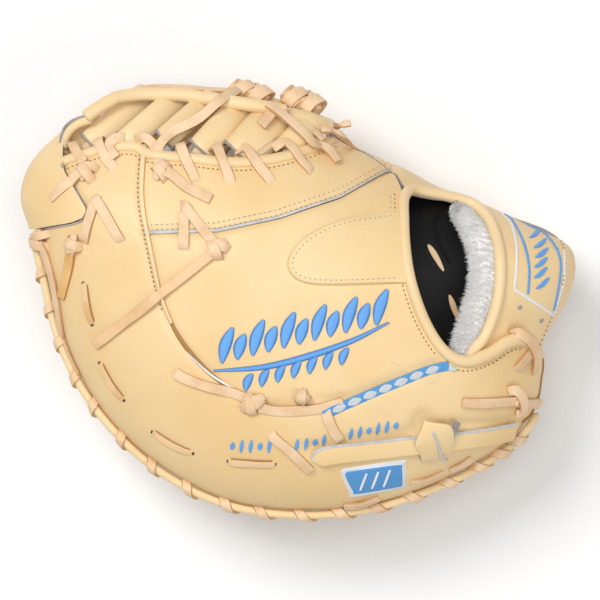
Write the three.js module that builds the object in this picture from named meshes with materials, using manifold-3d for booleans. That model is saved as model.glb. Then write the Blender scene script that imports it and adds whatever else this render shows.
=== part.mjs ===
// A first baseman mitt for the left hand, closed and lying on its thumb half, back of the fingers up.
// Millimetres. +X runs from the finger tips to the wrist, +Y from the open rim to the web, +Z up.
// The origin is the middle of the flat patch that the mitt rests on.
import * as THREE from "three";
import { mergeVertices } from "three/addons/utils/BufferGeometryUtils.js";
import Module from "manifold-3d";

const wasm = await Module();
wasm.setup();

// Driving sizes
const LENGTH = 340; // finger tips to the wrist strap's edge
const WIDTH = 267; // open rim to the ridge of the web
const HEIGHT = 150; // resting patch to the top of the back
const WALL = 2.6; // shell leather
const PALM_WALL = 3; // pocket leather
const LINING_WALL = 1.5; // black hand lining
const GAP = 0.35; // between neighbouring pieces
const LACE_WIDTH = 6.2; // rawhide lace
const LACE_THICK = 2.2;
const RIM_WIDTH = 5; // binding round the open rim, seen from above
const RIM_DEPTH = 8; // the same binding, seen from the side
const OPENING_ROLL = 9; // rolled edge of the hand opening
const WEB_EDGE_ROLL = 7; // rolled edge that the web laces to
const POST_WIDTH = 11; // rolled post along the web's ridge
const BAR_DEPTH = 6.5; // rolled web bars, through their thickness
const FLEECE_WIDTH = 22; // wool pad under the strap's edge
const FLEECE_DEPTH = 13;
const FLEECE_TUCK = 1.6; // the wool's crown is this far up beside the strap's rolled edge
const PAD_RISE = 2.2; // finger pad sewn on the back
const STRAP_DROP = 3.2; // the wrist strap lies this far under the back's surface
const PATCH_THICK = 1.2; // sewn patches
const PULL_WIDTH = 13; // pull strap of the little finger's loop
const PULL_THICK = 2;
const KNOT_WIDTH = 11;
const KNOT_FLAT = 0.32; // half a knot's height, as a share of its width

// Places are shares of the mitt, from the hub above the resting patch: x in 56ths of LENGTH, y in 44ths of
// WIDTH.
const X_SHARES = 56;
const Y_SHARES = 44;

// The outline seen from above, with the height of each shell's edge there as a share of HEIGHT:
// back of the fingers, palm's upper wall, palm's lower wall, thumb's back.
const OUTLINE = [
  { x: 29.0, y: 3.8, back: 0.62, ceiling: 0.37, floor: 0.37, thumb: 0.315 },
  { x: 28.0, y: 6.2, back: 0.6, ceiling: 0.4, floor: 0.4, thumb: 0.345 },
  { x: 24.0, y: 8.3, back: 0.56, ceiling: 0.45, floor: 0.45, thumb: 0.4 },
  { x: 18.0, y: 11.2, back: 0.52, ceiling: 0.49, floor: 0.49, thumb: 0.46 },
  { x: 12.0, y: 13.6, back: 0.5, ceiling: 0.49, floor: 0.49, thumb: 0.48 },
  { x: 6.0, y: 16.2, back: 0.5, ceiling: 0.49, floor: 0.49, thumb: 0.48 },
  { x: 3.0, y: 17.8, back: 0.5, ceiling: 0.49, floor: 0.49, thumb: 0.48 },
  { x: -3.0, y: 20.0, back: 0.5, ceiling: 0.49, floor: 0.49, thumb: 0.48 },
  { x: -10.0, y: 21.0, back: 0.5, ceiling: 0.49, floor: 0.49, thumb: 0.48 },
  { x: -15.0, y: 21.1, back: 0.5, ceiling: 0.49, floor: 0.48, thumb: 0.47 },
  { x: -20.0, y: 19.8, back: 0.52, ceiling: 0.5, floor: 0.46, thumb: 0.44 },
  { x: -24.0, y: 17.0, back: 0.57, ceiling: 0.55, floor: 0.42, thumb: 0.4 },
  { x: -27.0, y: 13.8, back: 0.62, ceiling: 0.6, floor: 0.38, thumb: 0.36 },
  { x: -28.0, y: 10.3, back: 0.64, ceiling: 0.62, floor: 0.36, thumb: 0.34 },
  { x: -27.1, y: 7.0, back: 0.65, ceiling: 0.63, floor: 0.35, thumb: 0.33 },
  { x: -26.0, y: 2.0, back: 0.65, ceiling: 0.63, floor: 0.35, thumb: 0.33 },
  { x: -24.8, y: -3.0, back: 0.65, ceiling: 0.63, floor: 0.35, thumb: 0.33 },
  { x: -22.6, y: -8.2, back: 0.65, ceiling: 0.63, floor: 0.35, thumb: 0.33 },
  { x: -19.0, y: -13.2, back: 0.65, ceiling: 0.63, floor: 0.35, thumb: 0.33 },
  { x: -14.0, y: -17.6, back: 0.65, ceiling: 0.63, floor: 0.35, thumb: 0.33 },
  { x: -7.5, y: -20.8, back: 0.65, ceiling: 0.63, floor: 0.35, thumb: 0.33 },
  { x: 0.0, y: -21.9, back: 0.64, ceiling: 0.62, floor: 0.36, thumb: 0.34 },
  { x: 7.0, y: -21.3, back: 0.63, ceiling: 0.61, floor: 0.37, thumb: 0.35 },
  { x: 13.0, y: -19.5, back: 0.61, ceiling: 0.58, floor: 0.39, thumb: 0.37 },
  { x: 18.0, y: -17.2, back: 0.59, ceiling: 0.54, floor: 0.41, thumb: 0.39 },
  { x: 22.2, y: -14.3, back: 0.57, ceiling: 0.49, floor: 0.42, thumb: 0.4 },
  { x: 24.5, y: -11.0, back: 0.57, ceiling: 0.44, floor: 0.41, thumb: 0.39 },
  { x: 25.2, y: -7.5, back: 0.58, ceiling: 0.4, floor: 0.37, thumb: 0.35 },
  { x: 26.0, y: -4.0, back: 0.6, ceiling: 0.37, floor: 0.37, thumb: 0.32 },
  { x: 28.2, y: 0.0, back: 0.62, ceiling: 0.36, floor: 0.36, thumb: 0.31 },
];

const OPEN_SHARE = 0.32; // back less thumb in OUTLINE where the mitt gapes fully
const TUCK = 6; // how far the pocket leather lies in from the shells along the closed side
const THUMB_INSET = RIM_WIDTH + 12; // the thumb half is smaller all round

const CEILING_INSET = RIM_WIDTH + WALL + 2 * GAP;
const FLOOR_INSET = THUMB_INSET + WALL + GAP;

// Each domed sheet: its height over the hub as a share of HEIGHT, how far it lies in from the outline, and its
// curve.
const SHEETS = {
  back: { edge: "back", crest: 0.985, inset: RIM_WIDTH + GAP, flat: 2.5, steep: 0.62 },
  ceiling: { edge: "ceiling", crest: 0.71, inset: CEILING_INSET, flat: 2.8, steep: 0.55, tuck: TUCK },
  floor: { edge: "floor", crest: 0.2, inset: FLOOR_INSET, flat: 2.8, steep: 0.55, tuck: TUCK },
  thumb: { edge: "thumb", crest: -0.09, inset: THUMB_INSET, flat: 2.5, steep: 0.62 },
};

const TURN = 2 * Math.PI;
const AROUND = 36; // facets round a sheet
const ACROSS = 6; // rings from the hub to the rim

const nodesOf = OUTLINE.map((row) => {
  const nx = row.x / (X_SHARES / 2);
  const ny = row.y / (Y_SHARES / 2);
  return { ...row, angle: (Math.atan2(ny, nx) + TURN) % TURN, reach: Math.hypot(nx, ny) };
}).sort((a, b) => a.angle - b.angle);

// A column of OUTLINE at any angle, by a closed cubic through its rows.
function column(name, angle) {
  const n = nodesOf.length;
  const turned = ((angle % TURN) + TURN) % TURN;
  let i = nodesOf.findIndex((row) => row.angle > turned) - 1;
  if (i < 0) i = turned < nodesOf[0].angle || i === -2 ? n - 1 : 0;
  const row = (k) => nodesOf[(k + n) % n];
  const span = (a, b) => (b.angle - a.angle + TURN) % TURN || TURN;
  const [p, a, b, q] = [row(i - 1), row(i), row(i + 1), row(i + 2)];
  const h = span(a, b);
  const t = ((turned - a.angle + TURN) % TURN) / h;
  const slopeA = (b[name] - p[name]) / (span(p, a) + h);
  const slopeB = (q[name] - a[name]) / (h + span(b, q));
  const t2 = t * t;
  const t3 = t2 * t;
  return (
    (2 * t3 - 3 * t2 + 1) * a[name] +
    (t3 - 2 * t2 + t) * h * slopeA +
    (3 * t2 - 2 * t3) * b[name] +
    (t3 - t2) * h * slopeB
  );
}

const edgePoint = (angle) => {
  const reach = column("reach", angle);
  return new THREE.Vector2((reach * Math.cos(angle) * LENGTH) / 2, (reach * Math.sin(angle) * WIDTH) / 2);
};

// How far the halves come together at an angle, from 0 at the open rim to 1 at the fold.
function closed(angle) {
  return Math.min(Math.max(1 - (column("back", angle) - column("thumb", angle)) / OPEN_SHARE, 0), 1);
}

const insetAt = (sheet, angle) => sheet.inset + (sheet.tuck ?? 0) * closed(angle);

// A point of a sheet at an angle and a share of the way from the hub to the sheet's own rim.
function sheetPoint(sheet, angle, share) {
  const rim = edgePoint(angle);
  const distance = rim.length();
  const p = rim.multiplyScalar((share * (distance - insetAt(sheet, angle))) / distance);
  const edge = column(sheet.edge, angle) * HEIGHT;
  const crest = sheet.crest * HEIGHT;
  const fall = 1 - (1 - Math.min(share, 1) ** sheet.flat) ** sheet.steep;
  const z = crest + (edge - crest) * fall;
  return new THREE.Vector3(p.x, p.y, Math.max(z, 0));
}

function sheetNormal(sheet, angle, share) {
  const step = 0.01;
  const s = Math.min(Math.max(share, 0.02), 0.995);
  const out = sheetPoint(sheet, angle, Math.min(s + step, 1)).sub(sheetPoint(sheet, angle, s - step));
  const round = sheetPoint(sheet, angle + step, s).sub(sheetPoint(sheet, angle - step, s));
  return out.cross(round).normalize();
}

// The share and angle of a place given in LENGTH and WIDTH shares.
function polar(sheet, x, y) {
  const nx = x / (X_SHARES / 2);
  const ny = y / (Y_SHARES / 2);
  const angle = Math.atan2(ny, nx);
  const distance = edgePoint(angle).length();
  const ofOutline = Math.hypot(nx, ny) / column("reach", angle);
  return { angle, share: (ofOutline * distance) / (distance - insetAt(sheet, angle)) };
}

function onSheet(sheet, x, y, lift = 0) {
  const { angle, share } = polar(sheet, x, y);
  const s = Math.min(share, 0.999);
  const normal = sheetNormal(sheet, angle, s);
  return { at: sheetPoint(sheet, angle, s).addScaledVector(normal, lift), up: normal };
}

const flatPoint = (x, y) => new THREE.Vector2((x * LENGTH) / X_SHARES, (y * WIDTH) / Y_SHARES);

// Solids

function geometryOf(positions, triangles) {
  const geometry = new THREE.BufferGeometry();
  const numbers = positions.flatMap((p) => [p.x, p.y, p.z]);
  geometry.setAttribute("position", new THREE.Float32BufferAttribute(numbers, 3));
  geometry.setIndex(triangles);
  return geometry;
}

function solidOf(geometry) {
  const bare = geometry.clone();
  for (const name of ["normal", "uv"]) bare.deleteAttribute(name);
  const merged = mergeVertices(bare, 1e-4);
  const solid = new wasm.Manifold(
    new wasm.Mesh({
      numProp: 3,
      vertProperties: merged.attributes.position.array,
      triVerts: new Uint32Array(merged.index.array),
    }),
  );
  return solid;
}

function geometryFrom(solid) {
  const { vertProperties, triVerts, numProp } = solid.getMesh();
  const positions = new Float32Array((vertProperties.length / numProp) * 3);
  for (let i = 0; i < positions.length / 3; i++) {
    positions.set(vertProperties.subarray(i * numProp, i * numProp + 3), i * 3);
  }
  const geometry = new THREE.BufferGeometry();
  geometry.setAttribute("position", new THREE.BufferAttribute(positions, 3));
  geometry.setIndex(new THREE.BufferAttribute(triVerts, 1));
  geometry.computeVertexNormals();
  return geometry;
}

const largest = (solid) => solid.decompose().sort((a, b) => b.volume() - a.volume())[0];

// A domed shell: outer and inner faces over a polar grid, closed at the rim. thick is measured inwards, along
// the normal; upper is false for a shell whose outer face looks down.
function dome(sheet, thick, upper, lift = 0) {
  const points = [];
  const triangles = [];
  const sign = upper ? 1 : -1;
  const face = (offset) => {
    const first = points.length;
    const pole = sheetPoint(sheet, 0, 0);
    points.push(pole.add(new THREE.Vector3(0, 0, offset * sign)));
    for (let j = 1; j <= ACROSS; j++) {
      const share = 1 - (1 - j / ACROSS) ** 1.7;
      for (let i = 0; i < AROUND; i++) {
        const angle = (i / AROUND) * TURN;
        const normal = sheetNormal(sheet, angle, share);
        points.push(sheetPoint(sheet, angle, share).addScaledVector(normal, offset * sign));
      }
    }
    return first;
  };
  const outer = face(lift);
  const inner = face(lift - thick);
  const at = (first, j, i) => (j === 0 ? first : first + 1 + (j - 1) * AROUND + (i % AROUND));
  const add = (a, b, c, flip) => triangles.push(...(flip ? [a, c, b] : [a, b, c]));
  for (const [first, flip] of [
    [outer, !upper],
    [inner, upper],
  ]) {
    for (let i = 0; i < AROUND; i++) {
      add(at(first, 0, 0), at(first, 1, i), at(first, 1, i + 1), flip);
      for (let j = 1; j < ACROSS; j++) {
        add(at(first, j, i), at(first, j + 1, i), at(first, j + 1, i + 1), flip);
        add(at(first, j, i), at(first, j + 1, i + 1), at(first, j, i + 1), flip);
      }
    }
  }
  for (let i = 0; i < AROUND; i++) {
    const [a, b] = [at(outer, ACROSS, i), at(outer, ACROSS, i + 1)];
    const [c, d] = [at(inner, ACROSS, i), at(inner, ACROSS, i + 1)];
    add(a, c, b, !upper);
    add(b, c, d, !upper);
  }
  return solidOf(geometryOf(points, triangles));
}

// A smooth line through places, as places.
function through(places, steps = 2) {
  const curve = new THREE.SplineCurve(places.map(([x, y]) => new THREE.Vector2(x, y)));
  return curve.getPoints((places.length - 1) * steps).map((p) => [p.x, p.y]);
}

// An upright prism over a closed outline of places, from below the mitt to above it.
const prism = (places) => uprightOf(places.map(([x, y]) => flatPoint(x, y)));

function uprightOf(points) {
  const shape = new THREE.Shape(points);
  const geometry = new THREE.ExtrudeGeometry(shape, { depth: 3 * HEIGHT, bevelEnabled: false });
  geometry.translate(0, 0, -HEIGHT);
  return solidOf(geometry);
}

// Sections: round with a few sides, or a flat strip with eased edges. Each is a ring of [side, up] shares.
const ring = (sides) =>
  Array.from({ length: sides }, (_, i) => [Math.cos((i * TURN) / sides), Math.sin((i * TURN) / sides)]);
const ROUND = ring(8);
const ROUND_SMALL = ring(6);
const STRIP = [
  [1, 0],
  [0.8, 1],
  [-0.8, 1],
  [-1, 0],
  [-0.8, -1],
  [0.8, -1],
];

// Sweeps a section along stations { at, up, half, deep }: half is half the width, deep half the thickness.
function sweep(section, stations) {
  const n = stations.length;
  const m = section.length;
  const points = [];
  stations.forEach((s, i) => {
    const before = stations[Math.max(i - 1, 0)];
    const after = stations[Math.min(i + 1, n - 1)];
    const along = after.at.clone().sub(before.at).normalize();
    const side = along.clone().cross(s.up).normalize();
    const up = side.clone().cross(along).normalize();
    for (const [a, b] of section) {
      points.push(s.at.clone().addScaledVector(side, a * s.half).addScaledVector(up, b * s.deep));
    }
  });
  const triangles = [];
  for (let i = 0; i < n - 1; i++) {
    for (let k = 0; k < m; k++) {
      const [a, b] = [i * m + k, i * m + ((k + 1) % m)];
      triangles.push(a, b, b + m, a, b + m, a + m);
    }
  }
  for (let k = 1; k < m - 1; k++) {
    triangles.push(0, k + 1, k);
    const last = (n - 1) * m;
    triangles.push(last, last + k, last + k + 1);
  }
  const solid = solidOf(geometryOf(points, triangles));
  if (solid.volume() > 0) return solid;
  for (let i = 0; i < triangles.length; i += 3) {
    [triangles[i + 1], triangles[i + 2]] = [triangles[i + 2], triangles[i + 1]];
  }
  return solidOf(geometryOf(points, triangles));
}

// Stations along places on a sheet, each lifted so that the strip's under side clears the leather.
function draped(sheet, places, half, deep, lift, steps = 2) {
  return through(places, steps).map(([x, y]) => ({ ...onSheet(sheet, x, y, lift), half, deep }));
}

// Finishes: colour, roughness
const FINISHES = {
  shell: { color: 0xf3d59a, roughness: 0.5 },
  lace: { color: 0xf0cfa2, roughness: 0.65 },
  lining: { color: 0x15130f, roughness: 0.6 },
  fleece: { color: 0xf4f2ee, roughness: 1 },
  patch: { color: 0x6db4e4, roughness: 0.8 },
};
const materials = Object.fromEntries(
  Object.entries(FINISHES).map(([name, f]) => [name, new THREE.MeshStandardMaterial({ ...f, metalness: 0 })]),
);

const mitt = new THREE.Group();
const solids = new Map();
function keep(name, finish, solid) {
  solids.set(name, { finish, solid: largest(solid) });
}

// Lines on the back, as places
const BACK_SEAM = through([
  [-15.5, 15.2], [-15.6, 10.0], [-14.7, 5.0], [-13.4, -0.4], [-11.2, -4.6], [-7.6, -8.2], [-3.0, -10.4],
  [3.0, -10.5], [8.5, -8.5], [14.2, -6.3],
]);
const OPENING_SIDE = through([
  [10.2, 11.0], [10.2, 6.0], [10.7, 2.0], [12.0, -1.8], [13.9, -4.8], [16.0, -6.2], [18.4, -5.8],
  [20.8, -4.4],
]);
const STRAP_SIDE = through([
  [11.2, 11.2], [14.6, 10.9], [17.6, 10.0], [19.2, 7.8], [19.8, 4.0], [19.6, 0.0], [18.6, -3.2], [17.4, -5.0],
]);
const WEB_EDGE = through([
  [-23.6, 13.7], [-19.6, 15.1], [-15.5, 15.2], [-8.0, 14.4], [-0.5, 15.0], [3.2, 16.4],
]);
const INDEX_LOW = [[-15.2, 6.5], [-8.0, 6.7], [-2.0, 8.0], [4.0, 10.1], [9.2, 13.2]];
const TIP_EDGE = [[-23.6, 16.6], [-23.4, 13.0], [-22.6, 10.8], [-21.4, 9.0], [-23.4, 7.7], [-26.6, 7.2]];
const PAD_OUTLINE = [
  [9.0, 8.6], [4.0, 7.8], [0.6, 6.2], [-1.1, 4.2], [-1.0, 2.6], [0.6, 1.6], [4.0, 1.4], [9.4, 1.6],
];
const FAR = 40; // beyond the mitt on every side, in places
const SEAM = 0.8; // gap between two panels

// Laces that lie on the back, as places: the line, the lift over the leather where one crosses another, and
// the knot that a tail comes out of.
const LACES = [
  { name: "crescent_stitch_1", line: [[-21.3, 1.7], [-20.9, -0.6], [-20.5, -2.5]] },
  { name: "crescent_stitch_2", line: [[-19.7, -6.2], [-18.7, -8.1], [-17.4, -9.9]] },
  { name: "crescent_stitch_3", line: [[-14.5, -13.0], [-12.6, -14.2], [-10.5, -15.1]] },
  { name: "crescent_stitch_4", line: [[-7.1, -15.8], [-4.8, -16.0], [-2.4, -16.1]] },
  { name: "web_stitch_1", line: [[-19.0, 14.2], [-18.4, 13.3]] },
  { name: "web_stitch_2", line: [[-11.6, 14.0], [-10.8, 12.6], [-10.3, 11.8]] },
  { name: "web_stitch_3", line: [[-8.0, 13.7], [-7.3, 12.6], [-6.8, 11.8]] },
  { name: "web_stitch_4", line: [[-5.2, 13.7], [-3.9, 12.6], [-2.8, 11.8]] },
  { name: "web_stitch_5", line: [[-1.4, 14.2], [-0.2, 13.5], [1.0, 12.8]] },
  { name: "lace_v_1", line: [[-22.2, 5.9], [-21.3, 8.2], [-20.3, 10.3], [-19.2, 8.4], [-17.9, 5.9]] },
  { name: "lace_v_2", line: [[-11.6, 5.2], [-11.6, 7.5], [-11.3, 9.4], [-9.8, 7.6], [-8.5, 6.0]] },
  { name: "tail_tip", line: [[-21.9, 12.8], [-23.6, 11.6], [-25.0, 10.3]], lift: -0.4, knot: "knot_tip" },
  { name: "tail_web", line: [[-13.2, 12.2], [-11.3, 10.8], [-8.8, 9.7]], knot: "knot_web" },
  { name: "tail_long", line: [[-8.3, 5.0], [-12.0, 1.9], [-16.0, -1.4], [-20.0, -4.2]], knot: "knot_long" },
  { name: "tail_side", line: [[-22.7, 5.0], [-23.5, 2.0], [-24.0, 0.4]], knot: "knot_side" },
  { name: "tail_loop", line: [[-12.1, -7.4], [-9.0, -8.4], [-5.0, -9.7]], knot: "knot_loop" },
  { name: "loop_lace", line: [[-4.0, -10.4], [0.0, -10.8], [3.4, -10.2]], knot: "knot_loop" },
  { name: "loop_lace_low", line: [[1.9, -11.5], [2.9, -12.5], [3.8, -13.4]] },
  { name: "loop_tail", line: [[-2.7, -13.2], [-0.9, -14.8], [0.6, -16.1]] },
  { name: "heel_tail_left", line: [[15.9, -9.8], [18.0, -9.8], [20.8, -9.9]], knot: "knot_heel" },
  { name: "heel_cross_under", line: [[21.4, -5.1], [22.4, -6.5], [23.3, -7.8]] },
  { name: "heel_cross_over", line: [[21.3, -7.5], [22.5, -6.3], [23.5, -5.2]], lift: LACE_THICK + GAP },
];

// Knots on the back, as places, with their size in knot widths and the way their band runs, in degrees.
const KNOTS = [
  { name: "knot_tip", x: -21.2, y: 13.0, long: 1.0, wide: 1.0, turn: 60 },
  { name: "knot_web", x: -13.6, y: 12.7, long: 1.0, wide: 0.9, turn: 60 },
  { name: "knot_side", x: -23.0, y: 5.2, long: 1.0, wide: 0.8, turn: -70 },
  { name: "knot_long", x: -8.1, y: 5.0, long: 1.2, wide: 1.0, turn: 40 },
  { name: "knot_loop", x: -4.6, y: -10.1, long: 1.7, wide: 1.2, turn: -30 },
  { name: "knot_heel", x: 21.0, y: -9.9, long: 1.1, wide: 1.0, turn: 80 },
];

// Web bars, as places: where each leaves the fingers' rolled edge, where it crosses the ridge, and its width
// in millimetres. The last one is the flap at the web's end.
const BARS = [
  { name: "web_bar_1", from: [-21.0, 15.0], over: [-14.6, 20.6], width: 10 },
  { name: "web_bar_2", from: [-18.0, 15.3], over: [-11.4, 20.8], width: 10 },
  { name: "web_bar_3", from: [-14.4, 15.2], over: [-8.2, 20.7], width: 11 },
  { name: "web_bar_4", from: [-10.8, 14.8], over: [-5.4, 20.3], width: 13 },
  { name: "web_bar_5", from: [-6.4, 14.5], over: [-2.2, 19.4], width: 14 },
  { name: "web_end_flap", from: [-2.2, 14.8], over: [1.2, 18.4], width: 12 },
];
const BAR_STEPS = 7;
const POST_LEAN = (40 / 180) * Math.PI; // the post crosses each bar this far up from the ridge
const POST_RISE = 3.7; // between the post and a bar, at the bar's middle: the bar's corners come nearer
// Its left end: place, and lift over the back's sheet.
const POST_TIP = [[-24.4, 14.6, -1], [-20.6, 19.4, 14]];

const stationsOn = (sheet, places, lift, half, deep) =>
  places.map(([x, y]) => ({ ...onSheet(sheet, x, y, lift), half, deep }));
const roll = (places, width, grow, lift = 0, sheet = SHEETS.back) =>
  sweep(ROUND, stationsOn(sheet, places, lift, width / 2 + grow, width / 2 - 0.7 + grow));

// The gap of a seam, as an upright blade along its line.
function slit(places) {
  const line = places.map(([x, y]) => flatPoint(x, y));
  const last = line.length - 1;
  const side = (i) => {
    const along = line[Math.min(i + 1, last)].clone().sub(line[Math.max(i - 1, 0)]).normalize();
    return new THREE.Vector2(-along.y, along.x).multiplyScalar(SEAM / 2);
  };
  const left = line.map((p, i) => p.clone().add(side(i)));
  const right = line.map((p, i) => p.clone().sub(side(i)));
  return uprightOf([...left, ...right.reverse()]);
}

const STRAP_LIFT = -STRAP_DROP - 0.5;

// The back of the mitt: panels cut from one domed shell along the seams
function backPanels(window) {
  keep("opening_binding", "shell", roll(OPENING_SIDE, OPENING_ROLL, 0));
  keep("web_edge_binding", "shell", roll(WEB_EDGE, WEB_EDGE_ROLL, 0));
  const opening = prism([...OPENING_SIDE, [FAR, -4.4], [FAR, 11.0], [14.0, 11.0]]);
  const open = dome(SHEETS.back, WALL, true)
    .subtract(roll(OPENING_SIDE, OPENING_ROLL, GAP))
    .subtract(roll(WEB_EDGE, WEB_EDGE_ROLL, GAP))
    .subtract(roll(STRAP_SIDE, OPENING_ROLL, GAP, STRAP_LIFT))
    .subtract(opening)
    .subtract(window);
  const inner = prism([...BACK_SEAM, [FAR, -6.3], [FAR, FAR], [-15.5, FAR]]);
  const crotchSide = [[9.2, 13.2], [6.0, 15.4], [3.4, 17.0], [3.4, FAR]];
  const index = prism([...INDEX_LOW, ...crotchSide.slice(1), [-15.2, FAR]]);
  const crotch = prism([[10.3, 10.9], [FAR, 10.9], [FAR, FAR], ...crotchSide.slice().reverse()]);
  const tip = prism([...TIP_EDGE, [-FAR, 7.2], [-FAR, 16.6]]);
  const outerPart = open.subtract(inner).subtract(slit(BACK_SEAM)).subtract(slit(TIP_EDGE));
  const innerPart = open
    .intersect(inner)
    .subtract(slit(BACK_SEAM))
    .subtract(slit([...INDEX_LOW, [10.3, 10.9]]))
    .subtract(slit(crotchSide.slice(0, 3)));
  keep("outer_panel", "shell", outerPart.subtract(tip));
  keep("tip_cap", "shell", outerPart.intersect(tip));
  keep("index_panel", "shell", innerPart.intersect(index));
  keep("crotch_panel", "shell", innerPart.intersect(crotch));
  keep("inner_panel", "shell", innerPart.subtract(index).subtract(crotch));
}

// The wrist strap, its rolled edge and the wool pad under it
function wristStrap() {
  const openingCut = roll(OPENING_SIDE, OPENING_ROLL, GAP);
  const under = [[17.4, -6.6], [24.4, -6.4], [FAR, -6.0]];
  const area = prism([...STRAP_SIDE.slice(5), ...under, [FAR, 10.5], [17.4, 10.5]]);
  const shell = dome(SHEETS.back, WALL, true, -STRAP_DROP);
  keep("strap_binding", "shell", roll(STRAP_SIDE, OPENING_ROLL, 0, STRAP_LIFT).subtract(openingCut));
  const strapCut = roll(STRAP_SIDE, OPENING_ROLL, GAP, STRAP_LIFT);
  keep("wrist_strap", "shell", shell.intersect(area).subtract(strapCut).subtract(openingCut));
  const places = through([[15.9, 8.8], [17.7, 7.1], [18.4, 4.0], [18.3, 0.6], [17.5, -2.2], [16.6, -3.8]]);
  const lift = STRAP_LIFT - OPENING_ROLL / 2 - FLEECE_DEPTH / 2 + FLEECE_TUCK;
  const stations = places.map(([x, y], i) => {
    const swell = 0.55 + 0.45 * Math.sin((Math.PI * i) / (places.length - 1));
    const depth = (FLEECE_DEPTH / 2) * swell;
    const at = onSheet(SHEETS.back, x, y, lift + FLEECE_DEPTH / 2 - depth);
    return { ...at, half: (FLEECE_WIDTH / 2) * swell, deep: depth };
  });
  keep("fleece", "fleece", sweep(ROUND, stations));
}

// The pocket leather: one piece, folded along the closed side, over the fingers' half and the thumb's half.
// The black lining shows inside the hand opening.
const FOLD_FROM = -0.16; // radians, at the heel
const FOLD_TO = 1.4; // at the web
const FOLD_STEPS = 12;

function palm(window) {
  const fold = [];
  for (let i = 0; i <= FOLD_STEPS; i++) {
    const angle = FOLD_FROM + ((FOLD_TO - FOLD_FROM) * i) / FOLD_STEPS;
    const rim = edgePoint(angle);
    const [outer, inner] = [SHEETS.ceiling, SHEETS.floor].map((sheet) => insetAt(sheet, angle));
    rim.multiplyScalar((rim.length() - (outer + inner + PALM_WALL) / 2) / rim.length());
    const at = new THREE.Vector3(rim.x, rim.y, column("ceiling", angle) * HEIGHT + PALM_WALL / 4);
    const half = (inner - outer + PALM_WALL) / 2;
    fold.push({ at, up: new THREE.Vector3(0, 0, 1), half, deep: PALM_WALL / 2 });
  }
  const upper = dome(SHEETS.ceiling, PALM_WALL, true).subtract(window);
  const lower = dome(SHEETS.floor, PALM_WALL, false).subtract(window);
  keep("palm", "shell", upper.add(lower).add(sweep(STRIP, fold)));
  const lining = dome(SHEETS.ceiling, LINING_WALL, true, LINING_WALL + GAP);
  keep("hand_lining", "lining", lining.intersect(prism([[-4, -8], [22, -5], [22, 5], [12, 8], [-4, 8]])));
  const edge = roll(WEB_EDGE, WEB_EDGE_ROLL, GAP, 0, SHEETS.thumb);
  keep("thumb_back", "shell", dome(SHEETS.thumb, WALL, false).subtract(window).subtract(edge));
}

// What is sewn flat on the back
function overlays() {
  const raised = dome(SHEETS.back, PAD_RISE, true, PAD_RISE + GAP);
  keep("finger_pad", "shell", raised.intersect(prism(PAD_OUTLINE)));
  const patch = dome(SHEETS.back, PATCH_THICK, true, PATCH_THICK + GAP);
  const heelArea = prism([[4.2, -16.6], [9.9, -15.6], [10.3, -17.8], [4.8, -19.3]]);
  keep("heel_patch", "patch", patch.intersect(heelArea));
  const strapPatch = dome(SHEETS.back, PATCH_THICK, true, PATCH_THICK + GAP - STRAP_DROP);
  const area = [[20.6, 8.2], [21.4, 4.0], [21.6, 1.0], [25.6, -1.6], [26.6, 2.0], [26.4, 5.0], [24.0, 7.4]];
  keep("wrist_patch", "patch", strapPatch.intersect(prism(area)));
  const pull = through([[1.2, -15.5], [5.0, -14.8], [10.8, -14.3], [15.2, -13.9], [20.6, -12.9]], 4);
  const lift = PULL_THICK / 2 + GAP;
  const stations = stationsOn(SHEETS.back, pull, lift, PULL_WIDTH / 2, PULL_THICK / 2);
  keep("pull_strap", "shell", sweep(STRIP, stations));
  const keeperLift = PULL_THICK * 1.5 + 2 * GAP;
  const keeper = [[12.6, -12.2], [12.9, -14.1], [13.2, -15.9]];
  const keeperAt = stationsOn(SHEETS.back, keeper, keeperLift, PULL_WIDTH, PULL_THICK / 2);
  keep("strap_keeper", "shell", sweep(STRIP, keeperAt));
  const piping = through([[4.4, -10.2], [9.0, -8.5], [13.2, -6.9]]);
  const pipingAt = stationsOn(SHEETS.back, piping, LACE_THICK / 2 + GAP, LACE_WIDTH / 2, LACE_THICK / 2);
  keep("seam_piping", "patch", sweep(STRIP, pipingAt));
}

// The open rims: a binding round each half, from past the web's end to the heel, with the sheets' own facets
const RIM_FROM_SHARE = 0.405; // of the turn round the hub
const RIM_TO_SHARE = 0.95;
const RIM_SEAT = 0.2; // share of RIM_DEPTH that the binding stands beyond the shell's edge

function rims() {
  for (const [name, sheet, down] of [
    ["finger_rim_binding", SHEETS.back, 1],
    ["thumb_rim_binding", SHEETS.thumb, -1],
  ]) {
    const stations = [];
    const last = Math.round(AROUND * RIM_TO_SHARE);
    for (let i = Math.round(AROUND * RIM_FROM_SHARE); i <= last; i++) {
      const angle = (i / AROUND) * TURN;
      const rim = edgePoint(angle);
      rim.multiplyScalar((rim.length() - sheet.inset + RIM_WIDTH / 2 + GAP) / rim.length());
      const z = column(sheet.edge, angle) * HEIGHT - down * RIM_DEPTH * RIM_SEAT;
      const at = new THREE.Vector3(rim.x, rim.y, z);
      stations.push({ at, up: new THREE.Vector3(0, 0, 1), half: RIM_WIDTH / 2 - GAP, deep: RIM_DEPTH / 2 });
    }
    keep(name, "shell", sweep(ROUND_SMALL, stations));
  }
}

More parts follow.
